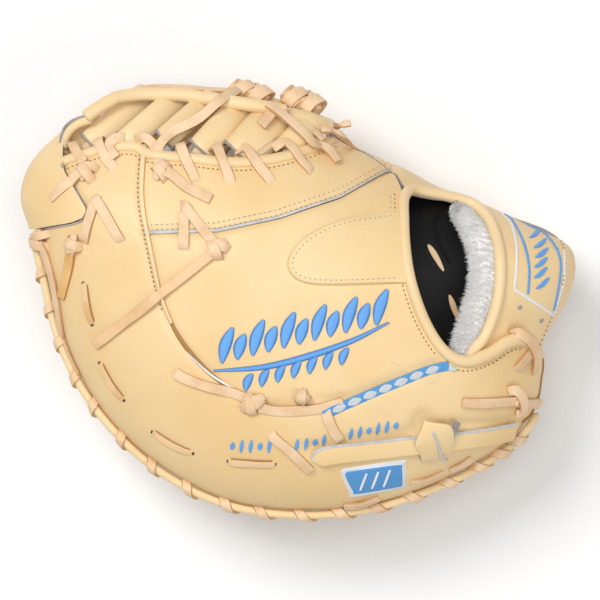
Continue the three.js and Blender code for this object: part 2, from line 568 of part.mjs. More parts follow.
// A knot: a short fat band whose ends draw in.
function knotSolid({ x, y, long, wide, turn }, grow) {
  const a = (turn * Math.PI) / 180;
  const reach = (KNOT_WIDTH * long) / 2;
  const height = KNOT_WIDTH * KNOT_FLAT;
  const middle = onSheet(SHEETS.back, x, y, height + GAP);
  const along = new THREE.Vector3(Math.cos(a), Math.sin(a), 0);
  along.addScaledVector(middle.up, -along.dot(middle.up)).normalize();
  const stations = [-1, -0.55, 0, 0.55, 1].map((t) => {
    const full = Math.sqrt(1 - 0.8 * t * t);
    const at = middle.at.clone().addScaledVector(along, t * (reach + grow));
    return { at, up: middle.up, half: (KNOT_WIDTH * wide * full) / 2 + grow, deep: height * full + grow };
  });
  return sweep(ROUND_SMALL, stations);
}

function laces() {
  for (const row of KNOTS) keep(row.name, "lace", knotSolid(row, 0));
  for (const { name, line, lift = 0, knot } of LACES) {
    const height = LACE_THICK / 2 + GAP + lift;
    const strip = sweep(STRIP, draped(SHEETS.back, line, LACE_WIDTH / 2, LACE_THICK / 2, height));
    const held = KNOTS.find((row) => row.name === knot);
    keep(name, "lace", held ? strip.subtract(knotSolid(held, GAP)) : strip);
  }
}

// A point of a bar's arch, turned by lean from the ridge: it springs from the fingers' edge at a quarter turn
// up and comes down on the thumb's edge at a quarter turn down.
function archPoint({ from, over: ridge }, lean, lift = 0) {
  const start = flatPoint(...from);
  const out = flatPoint(...ridge).sub(start);
  const top = onSheet(SHEETS.back, ...from).at.z - BAR_DEPTH / 2;
  const bottom = onSheet(SHEETS.thumb, ...from).at.z + BAR_DEPTH / 2;
  const [reach, rise] = [out.length(), (top - bottom) / 2];
  out.normalize();
  const [c, s] = [Math.cos(lean), Math.sin(lean)];
  const up = new THREE.Vector3((out.x * c) / reach, (out.y * c) / reach, s / rise).normalize();
  const over = start.clone().addScaledVector(out, reach * c);
  const at = new THREE.Vector3(over.x, over.y, bottom + rise + rise * s);
  return { at: at.addScaledVector(up, lift), up };
}

// The web: rolled bars arched from the fingers' edge over the ridge to the thumb's edge, under one long post
function web() {
  const edges = [SHEETS.back, SHEETS.thumb].map((sheet) => roll(WEB_EDGE, WEB_EDGE_ROLL, GAP, 0, sheet));
  const panels = prism([...WEB_EDGE.map(([x, y]) => [x, y + SEAM / 2]), [3.4, -FAR], [-23.6, -FAR]]);
  for (const bar of BARS) {
    const stations = [];
    for (let i = 0; i <= BAR_STEPS; i++) {
      const point = archPoint(bar, Math.PI * (0.5 - i / BAR_STEPS));
      stations.push({ ...point, half: bar.width / 2, deep: BAR_DEPTH / 2 });
    }
    const arch = sweep(ROUND, stations).subtract(panels);
    keep(bar.name, "shell", edges.reduce((rest, edge) => rest.subtract(edge), arch));
  }
  const seat = BAR_DEPTH / 2 + POST_WIDTH / 2 + POST_RISE;
  const crossings = BARS.slice(0, -1).map((bar) => archPoint(bar, POST_LEAN, seat));
  const tip = POST_TIP.map(([x, y, lift]) => onSheet(SHEETS.back, x, y, lift + POST_WIDTH / 2));
  const half = POST_WIDTH / 2;
  const post = [...tip, ...crossings].map((point) => ({ ...point, half, deep: half }));
  keep("web_post", "shell", sweep(ROUND, post));
  keep("thumb_web_binding", "shell", roll(WEB_EDGE.slice(0, -1), WEB_EDGE_ROLL, 0, 0, SHEETS.thumb));
}

const window = prism([...WEB_EDGE, [3.4, 17.6], [3.4, FAR], [-FAR, FAR], [-FAR, 20], [-23.6, 16.6]]);
backPanels(window);
wristStrap();
palm(window);
overlays();
rims();
laces();
web();

for (const [name, { finish, solid }] of solids) {
  const mesh = new THREE.Mesh(geometryFrom(solid), materials[finish]);
  mesh.name = name;
  mitt.add(mesh);
}

export default mitt;
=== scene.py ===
"""The dressed first baseman mitt: leather, laces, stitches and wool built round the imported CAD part.

Places are shares of the mitt seen from above, from the hub over the resting patch: x in 56ths of the length
and y in 44ths of the width. Sizes are in millimetres, and meshes are written in metres.
"""

from __future__ import annotations

import logging
import math
from dataclasses import dataclass, field
from enum import Enum
from typing import Any, Sequence

import bpy
import numpy as np
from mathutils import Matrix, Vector

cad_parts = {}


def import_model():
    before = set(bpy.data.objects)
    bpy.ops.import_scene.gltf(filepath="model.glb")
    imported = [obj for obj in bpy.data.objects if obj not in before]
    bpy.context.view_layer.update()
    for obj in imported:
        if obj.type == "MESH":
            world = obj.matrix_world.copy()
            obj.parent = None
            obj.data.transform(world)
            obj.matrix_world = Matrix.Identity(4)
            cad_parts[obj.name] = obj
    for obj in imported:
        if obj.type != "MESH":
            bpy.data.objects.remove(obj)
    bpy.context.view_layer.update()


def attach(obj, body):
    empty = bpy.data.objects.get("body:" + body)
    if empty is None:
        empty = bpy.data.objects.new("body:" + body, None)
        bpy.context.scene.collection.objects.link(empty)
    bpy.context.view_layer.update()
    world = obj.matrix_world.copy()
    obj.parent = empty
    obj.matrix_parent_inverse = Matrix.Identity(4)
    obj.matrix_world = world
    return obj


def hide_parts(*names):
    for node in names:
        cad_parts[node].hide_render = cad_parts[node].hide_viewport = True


LOG = logging.getLogger("mitt")
Places = Sequence[Sequence[float]]

MM = 0.001
TURN = 2 * math.pi

# The mitt's size, and the shares that its length and width are cut into.
LENGTH = 340.0
WIDTH = 267.0
HEIGHT = 150.0
X_SHARES = 56
Y_SHARES = 44

# Walls, and the gap between leathers.
WALL = 2.6
PALM_WALL = 3.0
LINING_WALL = 1.5
GAP = 0.35

# Laces and rolled edges.
LACE_WIDTH = 6.2
LACE_THICK = 2.2
SLOT_SETBACK = 1.4
RIM_WIDTH = 5.0
RIM_DEPTH = 8.0
OPENING_LOOP = 6.8
WEB_EDGE_ROLL = 7.0
BAR_DEPTH = 6.5

# How the sheets lie: the thumb's step in from the outline, how much further in the pocket's walls lie at the
# fold, and the share of the height that parts the rims where the mitt is fully open.
THUMB_INSET = RIM_WIDTH + 12
TUCK = 6.0
OPEN_SHARE = 0.32

# The mean way from the hub to the outline, which sets how finely a panel is cut.
MEAN_REACH = 135

# How far the seams sink in and the finger pad stands up.
SEAM_DEPTH = 1.3
SEAM_HALF = 2.6
PAD_RISE = 2.2

# The wool, and the strap behind it.
WOOL_HALF = 9.0
WOOL_LINE = (
    (16.2, 10.6), (17.2, 9.9), (18.4, 7.7), (19.1, 4.4), (19.1, 1.0), (18.2, -2.0), (17.3, -4.4),
    (16.7, -6.2),
)
FLEECE_DEPTH = 13.0
STRAP_DROP = 3.2
STRAP_LIFT = -STRAP_DROP - 0.5
STRAP_STOP = (16.2, 10.5)

# The roll round the opening as it nears the heel, and the cap at the finger tips.
HEEL_DIP = 3.4
HEEL_DIP_RUN = 22.0
HEEL_SWELL = 0.2
TIP_UNDER = 0.978
TIP_CORNERS = ((-23.6, 16.6), (-26.6, 7.0))

# What holds the places of a sheet's face and edge until it is dressed.
PLACEHOLDERS = ("face_slot", "edge_slot")

# The outline: x, y, then each shell's edge there as a share of HEIGHT: back, ceiling, floor, thumb.
OUTLINE_ROWS = (
    (29.0, 3.8, 0.62, 0.37, 0.37, 0.315),
    (28.0, 6.2, 0.6, 0.4, 0.4, 0.345),
    (24.0, 8.3, 0.56, 0.45, 0.45, 0.4),
    (18.0, 11.2, 0.52, 0.49, 0.49, 0.46),
    (12.0, 13.6, 0.5, 0.49, 0.49, 0.48),
    (6.0, 16.2, 0.5, 0.49, 0.49, 0.48),
    (3.0, 17.8, 0.5, 0.49, 0.49, 0.48),
    (-3.0, 20.0, 0.5, 0.49, 0.49, 0.48),
    (-10.0, 21.0, 0.5, 0.49, 0.49, 0.48),
    (-15.0, 21.1, 0.5, 0.49, 0.48, 0.47),
    (-20.0, 19.8, 0.52, 0.5, 0.46, 0.44),
    (-24.0, 17.0, 0.57, 0.55, 0.42, 0.4),
    (-27.0, 13.8, 0.62, 0.6, 0.38, 0.36),
    (-28.0, 10.3, 0.64, 0.62, 0.36, 0.34),
    (-27.1, 7.0, 0.65, 0.63, 0.35, 0.33),
    (-26.0, 2.0, 0.65, 0.63, 0.35, 0.33),
    (-24.8, -3.0, 0.65, 0.63, 0.35, 0.33),
    (-22.6, -8.2, 0.65, 0.63, 0.35, 0.33),
    (-19.0, -13.2, 0.65, 0.63, 0.35, 0.33),
    (-14.0, -17.6, 0.65, 0.63, 0.35, 0.33),
    (-7.5, -20.8, 0.65, 0.63, 0.35, 0.33),
    (0.0, -21.9, 0.64, 0.62, 0.36, 0.34),
    (7.0, -21.3, 0.63, 0.61, 0.37, 0.35),
    (13.0, -19.5, 0.61, 0.58, 0.39, 0.37),
    (18.0, -17.2, 0.59, 0.54, 0.41, 0.39),
    (22.2, -14.3, 0.57, 0.49, 0.42, 0.4),
    (24.5, -11.0, 0.57, 0.44, 0.41, 0.39),
    (25.2, -7.5, 0.58, 0.4, 0.37, 0.35),
    (26.0, -4.0, 0.6, 0.37, 0.37, 0.32),
    (28.2, 0.0, 0.62, 0.36, 0.36, 0.31),
)


def unit(rows: np.ndarray) -> np.ndarray:
    """Rows of vectors brought to length 1."""
    return rows / np.maximum(np.linalg.norm(rows, axis=-1, keepdims=True), 1e-12)


def smooth(low: float, high: float, value: np.ndarray) -> np.ndarray:
    """A soft step from 0 at low to 1 at high."""
    t = np.clip((value - low) / (high - low), 0, 1)
    return t * t * (3 - 2 * t)


def hermite(t: Any, first: Any, leaving: Any, last: Any, arriving: Any) -> np.ndarray:
    """A cubic from first to last at t, with its slopes at both."""
    return (
        (2 * t**3 - 3 * t**2 + 1) * first
        + (t**3 - 2 * t**2 + t) * leaving
        + (3 * t**2 - 2 * t**3) * last
        + (t**3 - t**2) * arriving
    )


def upright(count: int) -> np.ndarray:
    """Directions straight up."""
    return np.tile([0.0, 0.0, 1.0], (count, 1))


def smoothed(values: np.ndarray, reach: int) -> np.ndarray:
    """Values averaged with their neighbours."""
    size = 2 * reach + 1
    return np.convolve(np.pad(values, reach, mode="edge"), np.ones(size) / size, mode="valid")


def through(places: Places, steps: int = 12) -> np.ndarray:
    """A smooth line through places.

    Args:
        places: The places, in order.
        steps: Points for each span.

    Returns:
        The line's points, as rows.
    """
    p = np.asarray(places, float)
    last = len(p) - 1
    rows = []
    for i in range(last):
        a, b = p[i], p[i + 1]
        before, after = p[max(i - 1, 0)], p[min(i + 2, last)]
        t = (np.arange(steps) / steps)[:, None]
        rows.append(hermite(t, a, (b - before) / 2, b, (after - a) / 2))
    return np.vstack([*rows, p[-1:]])


def straight(places: Places, steps: int = 12) -> np.ndarray:
    """Points along straight spans between places, with steps for each span."""
    p = np.asarray(places, float)
    t = np.arange(steps)[:, None] / steps
    return np.vstack([*[a + (b - a) * t for a, b in zip(p[:-1], p[1:])], p[-1:]])


def to_mm(places: np.ndarray) -> np.ndarray:
    """Places as flat millimetres."""
    return np.asarray(places, float) * (LENGTH / X_SHARES, WIDTH / Y_SHARES)


def to_places(points: np.ndarray) -> np.ndarray:
    """Flat millimetres as places."""
    return np.asarray(points, float) / (LENGTH / X_SHARES, WIDTH / Y_SHARES)


def even(line: np.ndarray, gap: float | None = None, count: int | None = None) -> np.ndarray:
    """A line's points set at even distances.

    Args:
        line: Points in millimetres, as rows.
        gap: The distance between points, about.
        count: The number of points, where gap isn't given.

    Returns:
        The new points.
    """
    steps = np.linalg.norm(np.diff(line, axis=0), axis=1)
    run = np.concatenate([[0], np.cumsum(steps)])
    number = count or max(int(round(run[-1] / (gap or 1))), 1) + 1
    at = np.linspace(0, run[-1], number)
    return np.stack([np.interp(at, run, line[:, k]) for k in range(line.shape[1])], axis=1)


def from_line(points: np.ndarray, line: np.ndarray) -> np.ndarray:
    """How far each flat point lies from a line, in the line's own unit."""
    found = np.full(len(points), np.inf)
    for first in range(0, len(points), 4000):
        part = points[first : first + 4000, None, :] - line[None, :, :]
        found[first : first + 4000] = np.sqrt((part**2).sum(-1)).min(1)
    return found


class Outline:
    """The mitt's outline from above, and the heights of the shells' edges, by angle round the hub."""

    COLUMNS = ("back", "ceiling", "floor", "thumb")

    def __init__(self) -> None:
        """Fills a fine table from OUTLINE_ROWS by a closed cubic."""
        rows = np.array(OUTLINE_ROWS)
        nx, ny = rows[:, 0] / (X_SHARES / 2), rows[:, 1] / (Y_SHARES / 2)
        angle = np.mod(np.arctan2(ny, nx), TURN)
        order = np.argsort(angle)
        self.angles = np.linspace(0, TURN, 4320, endpoint=False)
        values = {"reach": np.hypot(nx, ny)}
        values.update({name: rows[:, 2 + k] for k, name in enumerate(self.COLUMNS)})
        self.table = {
            name: self._cubic(angle[order], value[order], self.angles) for name, value in values.items()
        }

    @staticmethod
    def _cubic(angle: np.ndarray, value: np.ndarray, at: np.ndarray) -> np.ndarray:
        """A closed cubic through value over angle, read at the angles in at."""
        n = len(angle)
        i = (np.searchsorted(angle, at, side="right") - 1) % n
        before, after, beyond = (i - 1) % n, (i + 1) % n, (i + 2) % n

        def span(a: np.ndarray, b: np.ndarray) -> np.ndarray:
            """The turn from row a to row b."""
            return np.mod(angle[b] - angle[a], TURN)

        h = span(i, after)
        t = np.mod(at - angle[i], TURN) / h
        slope_a = (value[after] - value[before]) / (span(before, i) + h)
        slope_b = (value[beyond] - value[i]) / (h + span(after, beyond))
        return hermite(t, value[i], h * slope_a, value[after], h * slope_b)

    def column(self, name: str, angle: np.ndarray) -> np.ndarray:
        """A column of the outline at any angle."""
        return np.interp(np.mod(angle, TURN), self.angles, self.table[name], period=TURN)

    def rim(self, angle: np.ndarray) -> np.ndarray:
        """The outline's flat point at an angle, in millimetres."""
        reach = self.column("reach", angle)
        return np.stack([reach * np.cos(angle) * LENGTH / 2, reach * np.sin(angle) * WIDTH / 2], axis=-1)

    def closed(self, angle: np.ndarray) -> np.ndarray:
        """How far the halves come together: 0 at the open rim and 1 at the fold."""
        apart = self.column("back", angle) - self.column("thumb", angle)
        return np.clip(1 - apart / OPEN_SHARE, 0, 1)


OUTLINE = Outline()


def polar_of(places: np.ndarray) -> tuple[np.ndarray, np.ndarray]:
    """The angle of places round the hub, and their reach as a share of the half sizes."""
    p = np.asarray(places, float)
    nx, ny = p[..., 0] / (X_SHARES / 2), p[..., 1] / (Y_SHARES / 2)
    return np.arctan2(ny, nx), np.hypot(nx, ny)


@dataclass(frozen=True)
class Sheet:
    """A domed sheet: its rim's column, height over the hub, inset from the outline, and its curve."""

    edge: str
    crest: float
    inset: float
    flat: float
    steep: float
    tuck: float = 0.0

    def inset_at(self, angle: np.ndarray) -> np.ndarray:
        """How far the sheet lies in from the outline at an angle."""
        return self.inset + self.tuck * OUTLINE.closed(angle)

    def point(self, angle: np.ndarray, share: np.ndarray) -> np.ndarray:
        """A point at an angle and a share of the way from the hub to the sheet's rim."""
        rim = OUTLINE.rim(angle)
        distance = np.linalg.norm(rim, axis=-1)
        flat = rim * (share * (distance - self.inset_at(angle)) / distance)[..., None]
        edge = OUTLINE.column(self.edge, angle) * HEIGHT
        crest = self.crest * HEIGHT
        fall = 1 - (1 - np.minimum(share, 1) ** self.flat) ** self.steep
        z = np.maximum(crest + (edge - crest) * fall, 0)
        return np.concatenate([flat, z[..., None]], axis=-1)

    def normal(self, angle: np.ndarray, share: np.ndarray) -> np.ndarray:
        """The upward normal there."""
        step = 0.01
        s = np.clip(share, 0.02, 0.995)
        out = self.point(angle, np.minimum(s + step, 1)) - self.point(angle, s - step)
        around = self.point(angle + step, s) - self.point(angle - step, s)
        return unit(np.cross(out, around))

    def share_of(self, angle: np.ndarray, reach: np.ndarray) -> np.ndarray:
        """The sheet's share at an angle for a reach from the hub."""
        distance = np.linalg.norm(OUTLINE.rim(angle), axis=-1)
        return reach / OUTLINE.column("reach", angle) * distance / (distance - self.inset_at(angle))

    def raised(self, points: np.ndarray, lift: float) -> np.ndarray:
        """Points of the sheet, in rows and columns, lifted along its normal."""
        angle, reach = polar_of(to_places(points[..., :2]))
        return points + self.normal(angle, np.minimum(self.share_of(angle, reach), 1.0)) * lift

    def on(self, places: np.ndarray, lift: Any = 0.0) -> tuple[np.ndarray, np.ndarray]:
        """Points over places, lifted along the normal, with the normals.

        Args:
            places: Places as rows.
            lift: Millimetres over the sheet, one for all or one for each.

        Returns:
            The points and their normals.
        """
        angle, reach = polar_of(places)
        share = np.minimum(self.share_of(angle, reach), 0.999)
        up = self.normal(angle, share)
        return self.point(angle, share) + up * np.broadcast_to(lift, share.shape)[..., None], up


BACK = Sheet("back", 0.985, RIM_WIDTH + GAP, 2.5, 0.62)
TIP_SHEET = Sheet("back", 0.985, 0.6, 2.5, 0.62)
CEILING = Sheet("ceiling", 0.71, RIM_WIDTH + WALL + 2 * GAP, 2.8, 0.55, TUCK)
FLOOR = Sheet("floor", 0.2, THUMB_INSET + WALL + GAP, 2.8, 0.55, TUCK)
THUMB = Sheet("thumb", -0.09, THUMB_INSET, 2.5, 0.62)

# Lines on the back, as places
HEEL_EDGE = ((24.2, -9.4), (24.55, -7.9), (24.75, -6.6), (24.5, -5.4), (23.9, -4.6), (23.2, -4.3))
BACK_SEAM = through(
    (
        (-15.5, 15.2), (-15.6, 10.0), (-14.7, 5.0), (-13.4, -0.4), (-11.2, -4.6), (-7.6, -8.2),
        (-3.0, -10.4), (3.0, -10.5), (8.5, -8.5), (14.2, -6.3),
    )
)
OPENING_SIDE = through(
    (
        (10.2, 11.0), (10.2, 6.0), (10.7, 2.0), (12.0, -1.8), (13.9, -4.8), (16.0, -6.0), (18.4, -5.4),
        (20.4, -4.2), (22.0, -3.9), (23.2, -4.6),
    )
)
STRAP_SIDE = through(
    (
        (11.2, 11.2), (14.6, 10.9), (17.6, 10.0), (19.2, 7.8), (19.8, 4.0), (19.6, 0.0), (18.6, -3.2),
        (17.4, -5.0), (16.4, -6.5),
    )
)
WEB_EDGE = through(
    (
        (-23.6, 13.7), (-19.6, 14.9), (-16.4, 15.15), (-14.6, 14.3), (-10.6, 13.9), (-6.8, 13.5),
        (-3.0, 13.8), (0.6, 14.8), (3.2, 16.0),
    )
)
INDEX_LOW = straight(((-15.2, 6.5), (-8.0, 6.7), (-2.0, 8.0), (4.0, 10.1), (9.2, 13.2)))
CROTCH_SIDE = straight(((9.2, 13.2), (6.0, 15.4), (3.4, 17.0)))
TIP_EDGE = straight(
    ((-23.6, 16.6), (-23.4, 13.0), (-22.0, 10.7), (-20.85, 8.8), (-21.3, 8.0), (-22.5, 7.55), (-26.6, 7.0))
)
PAD_OUTLINE = (
    (9.0, 8.6), (4.0, 7.8), (0.6, 6.2), (-1.1, 4.2), (-1.0, 2.6), (0.6, 1.6), (4.0, 1.4), (9.4, 1.6),
)


class Rail:
    """A line of places that a panel ends at, as a reach from the hub by angle."""

    def __init__(self, places: np.ndarray) -> None:
        """Keeps the line by rising angle."""
        angle, reach = polar_of(places)
        angle = np.unwrap(angle)
        order = np.argsort(angle)
        self.angle, self.reach = angle[order], reach[order]

    def at(self, sheet: Sheet, angle: np.ndarray) -> np.ndarray:
        """The sheet's share where the line crosses each angle."""
        middle = self.angle.mean()
        near = np.mod(angle - middle + math.pi, TURN) - math.pi + middle
        return sheet.share_of(angle, np.interp(near, self.angle, self.reach))


class Make:
    """Meshes started from primitives, with their points moved to their places in code."""

    @staticmethod
    def clear() -> None:
        """Leaves nothing selected."""
        for item in bpy.context.selected_objects:
            item.select_set(False)

    @staticmethod
    def pick(made: bpy.types.Object) -> None:
        """Leaves one object selected and active."""
        Make.clear()
        made.select_set(True)
        bpy.context.view_layer.objects.active = made

    @staticmethod
    def grid(name: str, points: np.ndarray, uv_size: tuple[float, float] = (1.0, 1.0)) -> bpy.types.Object:
        """A sheet of faces through rows of points.

        Args:
            name: The object's name.
            points: Millimetres, as rows by columns by 3.
            uv_size: The UV map's span along columns and rows.

        Returns:
            The object, at the origin.
        """
        rows, columns = points.shape[:2]
        Make.clear()
        bpy.ops.mesh.primitive_grid_add(x_subdivisions=columns - 1, y_subdivisions=rows - 1, size=1)
        made = bpy.context.object
        made.name = made.data.name = name
        made.data.vertices.foreach_set("co", (points.reshape(-1, 3) * MM).ravel())
        layer = made.data.uv_layers[0].data
        uv = np.empty(len(layer) * 2)
        layer.foreach_get("uv", uv)
        layer.foreach_set("uv", (uv.reshape(-1, 2) * uv_size).ravel())
        made.data.update()
        return made

    @staticmethod
    def weld(made: bpy.types.Object, distance: float = 0.004) -> None:
        """Merges points that lie together, in millimetres, and points the faces outwards."""
        Make.pick(made)
        bpy.ops.object.mode_set(mode="EDIT")
        bpy.ops.mesh.select_all(action="SELECT")
        bpy.ops.mesh.remove_doubles(threshold=distance * MM)
        bpy.ops.mesh.normals_make_consistent(inside=False)
        bpy.ops.object.mode_set(mode="OBJECT")

    @staticmethod
    def modify(made: bpy.types.Object, kind: str, **settings: Any) -> None:
        """Adds a modifier and applies it."""
        Make.pick(made)
        modifier = made.modifiers.new(kind.title(), kind)
        for name, value in settings.items():
            setattr(modifier, name, value)
        bpy.ops.object.modifier_apply(modifier=modifier.name)

    @staticmethod
    def rounded(made: bpy.types.Object, angle: float = 40.0) -> None:
        """Shades smooth, with edges sharper than the angle left hard."""
        Make.pick(made)
        bpy.ops.object.shade_smooth_by_angle(angle=math.radians(angle))

    @staticmethod
    def join(name: str, parts: Sequence[bpy.types.Object]) -> bpy.types.Object:
        """One object from several."""
        Make.clear()
        for part in parts:
            part.select_set(True)
        bpy.context.view_layer.objects.active = parts[0]
        if len(parts) > 1:
            bpy.ops.object.join()
        parts[0].name = parts[0].data.name = name
        return parts[0]

    @staticmethod
    def walled(made: bpy.types.Object, thick: float, bevel: float = 0.5, even: bool = True) -> None:
        """Gives a sheet its leather's thickness, inwards, with eased edges and a cut-edge material slot.

        Args:
            made: The sheet.
            thick: Its thickness in millimetres.
            bevel: The width of its eased edges.
            even: Whether the wall keeps its thickness at creases, which spikes at a dome's middle.
        """
        for name in PLACEHOLDERS:
            made.data.materials.append(bpy.data.materials.get(name) or bpy.data.materials.new(name))
        Make.modify(
            made, "SOLIDIFY", thickness=thick * MM, offset=-1.0, use_even_offset=even,
            use_quality_normals=even, material_offset_rim=1,
        )
        Make.modify(
            made, "BEVEL", width=bevel * MM, segments=2, limit_method="ANGLE",
            angle_limit=math.radians(50), use_clamp_overlap=True,
        )

    @staticmethod
    def face(made: bpy.types.Object, want: int = 1) -> None:
        """Turns a sheet's faces up for 1 and down for -1."""
        up = sum(polygon.normal.z * polygon.area for polygon in made.data.polygons)
        if up * want < 0:
            made.data.flip_normals()

    @staticmethod
    def leather(
        made: bpy.types.Object, thick: float, bevel: float = 0.5, want: int = 1, angle: float = 40.0,
        even: bool = True,
    ) -> bpy.types.Object:
        """Makes leather of a sheet.

        Args:
            made: The sheet.
            thick: Its thickness.
            bevel: The width of its eased edges.
            want: 1 where its grain side faces up, and -1 where it faces down.
            angle: Edges sharper than this stay hard.
            even: Whether the wall keeps its thickness at creases.

        Returns:
            The sheet.
        """
        Make.face(made, want)
        Make.walled(made, thick, bevel, even)
        Make.rounded(made, angle)
        return made

    @staticmethod
    def shape_of(item: bpy.types.Object) -> tuple[np.ndarray, list[list[int]]]:
        """A primitive's points and faces, after which it is taken away."""
        points = np.array([vertex.co for vertex in item.data.vertices])
        faces = [list(polygon.vertices) for polygon in item.data.polygons]
        bpy.data.objects.remove(item, do_unlink=True)
        return points, faces

    @staticmethod
    def copies(name: str, points: np.ndarray, faces: list[list[int]]) -> bpy.types.Object:
        """One object of many small shapes.

        Args:
            name: The object's name.
            points: Millimetres, as shapes by points by 3.
            faces: One shape's faces.

        Returns:
            The object.
        """
        count = points.shape[1]
        every = [[v + k * count for v in face] for k in range(len(points)) for face in faces]
        mesh = bpy.data.meshes.new(name)
        mesh.from_pydata((points.reshape(-1, 3) * MM).tolist(), [], every)
        made = bpy.data.objects.new(name, mesh)
        bpy.context.scene.collection.objects.link(made)
        return made


@dataclass
class Station:
    """Stations of a sweep: middles, upward directions, half widths and half thicknesses."""

    at: np.ndarray
    up: np.ndarray
    half: np.ndarray
    deep: np.ndarray

    @staticmethod
    def of(at: np.ndarray, up: np.ndarray, half: Any, deep: Any) -> "Station":
        """Stations with sizes given once or for each point."""
        n = len(at)
        return Station(
            at, up, np.broadcast_to(half, n).astype(float), np.broadcast_to(deep, n).astype(float)
        )


class Section(Enum):
    """Cross-sections of what is swept along a line."""

    ROUND = "round"
    STRIP = "strip"
    FLATTENED = "flattened"

    def ring(self, sides: int) -> np.ndarray:
        """The section's points as side and up shares, closed back on its first."""
        angle = np.linspace(0, TURN, sides + 1)
        c, s = np.cos(angle), np.sin(angle)
        power = {Section.ROUND: 1.0, Section.STRIP: 0.3, Section.FLATTENED: 0.62}[self]
        return np.stack([np.sign(c) * np.abs(c) ** power, np.sign(s) * np.abs(s) ** power], axis=1)


def swept(
    name: str, station: Station, section: Section = Section.ROUND, sides: int = 16, tip: float = 1.0
) -> bpy.types.Object:
    """A closed solid swept along stations, with rounded ends.

    Args:
        name: The object's name.
        station: Where it runs.
        section: Its cross-section.
        sides: Points round the section.
        tip: How far an end is rounded, as a share of the half thickness.

    Returns:
        The object.
    """
    along = unit(np.gradient(station.at, axis=0))
    side = unit(np.cross(along, station.up))
    at, up, half, deep = station.at, np.cross(side, along), station.half, station.deep
    for end, outward in ((0, -1), (-1, 1)):
        cap = []
        for turn in (0.35, 0.7, 0.92, 1.0):
            shrink = math.sqrt(max(1 - turn * turn, 0))
            middle = at[end] + along[end] * outward * (tip * deep[end] * turn)
            cap.append(
                (middle, side[end], up[end], half[end] - deep[end] * (1 - shrink), deep[end] * shrink)
            )
        cap.append((cap[-1][0], side[end], up[end], 0.0, 0.0))
        columns = [np.array(column) for column in zip(*cap[::outward])]
        at, side, up, half, deep = (
            np.concatenate([old, new][::outward]) for old, new in zip((at, side, up, half, deep), columns)
        )
    ring = section.ring(sides)
    points = (
        at[:, None, :]
        + side[:, None, :] * (ring[None, :, 0] * half[:, None])[..., None]
        + up[:, None, :] * (ring[None, :, 1] * deep[:, None])[..., None]
    )
    run = float(np.linalg.norm(np.diff(at, axis=0), axis=1).sum())
    made = Make.grid(name, points, (1.0, run))
    Make.weld(made)
    return made


class Socket:
    """A shader value whose operators add Math nodes."""

    def __init__(self, tree: "Tree", link: Any) -> None:
        """Wraps an output of the tree, or a number."""
        self.tree, self.link = tree, link

    def math(self, operation: str, *others: Any) -> "Socket":
        """A Math node on this value and the others, in order."""
        node = self.tree.nodes.new("ShaderNodeMath")
        node.operation = operation
        for slot, value in zip(node.inputs, (self, *others)):
            self.tree.feed(slot, value)
        return Socket(self.tree, node.outputs[0])

    def __add__(self, other: Any) -> "Socket":
        """This plus the other."""
        return self.math("ADD", other)

    __radd__ = __add__

    def __mul__(self, other: Any) -> "Socket":
        """This times the other."""
        return self.math("MULTIPLY", other)

    __rmul__ = __mul__

    def __sub__(self, other: Any) -> "Socket":
        """This less the other."""
        return self.math("SUBTRACT", other)

    def __rsub__(self, other: Any) -> "Socket":
        """The other less this."""
        return (self * -1.0) + other

    def step(self, low: float, high: float) -> "Socket":
        """A soft step from 0 at low to 1 at high."""
        node = self.tree.node(
            "MapRange", {"interpolation_type": "SMOOTHSTEP", "clamp": True},
            Value=self, From_Min=low, From_Max=high,
        )
        return Socket(self.tree, node.outputs[0])


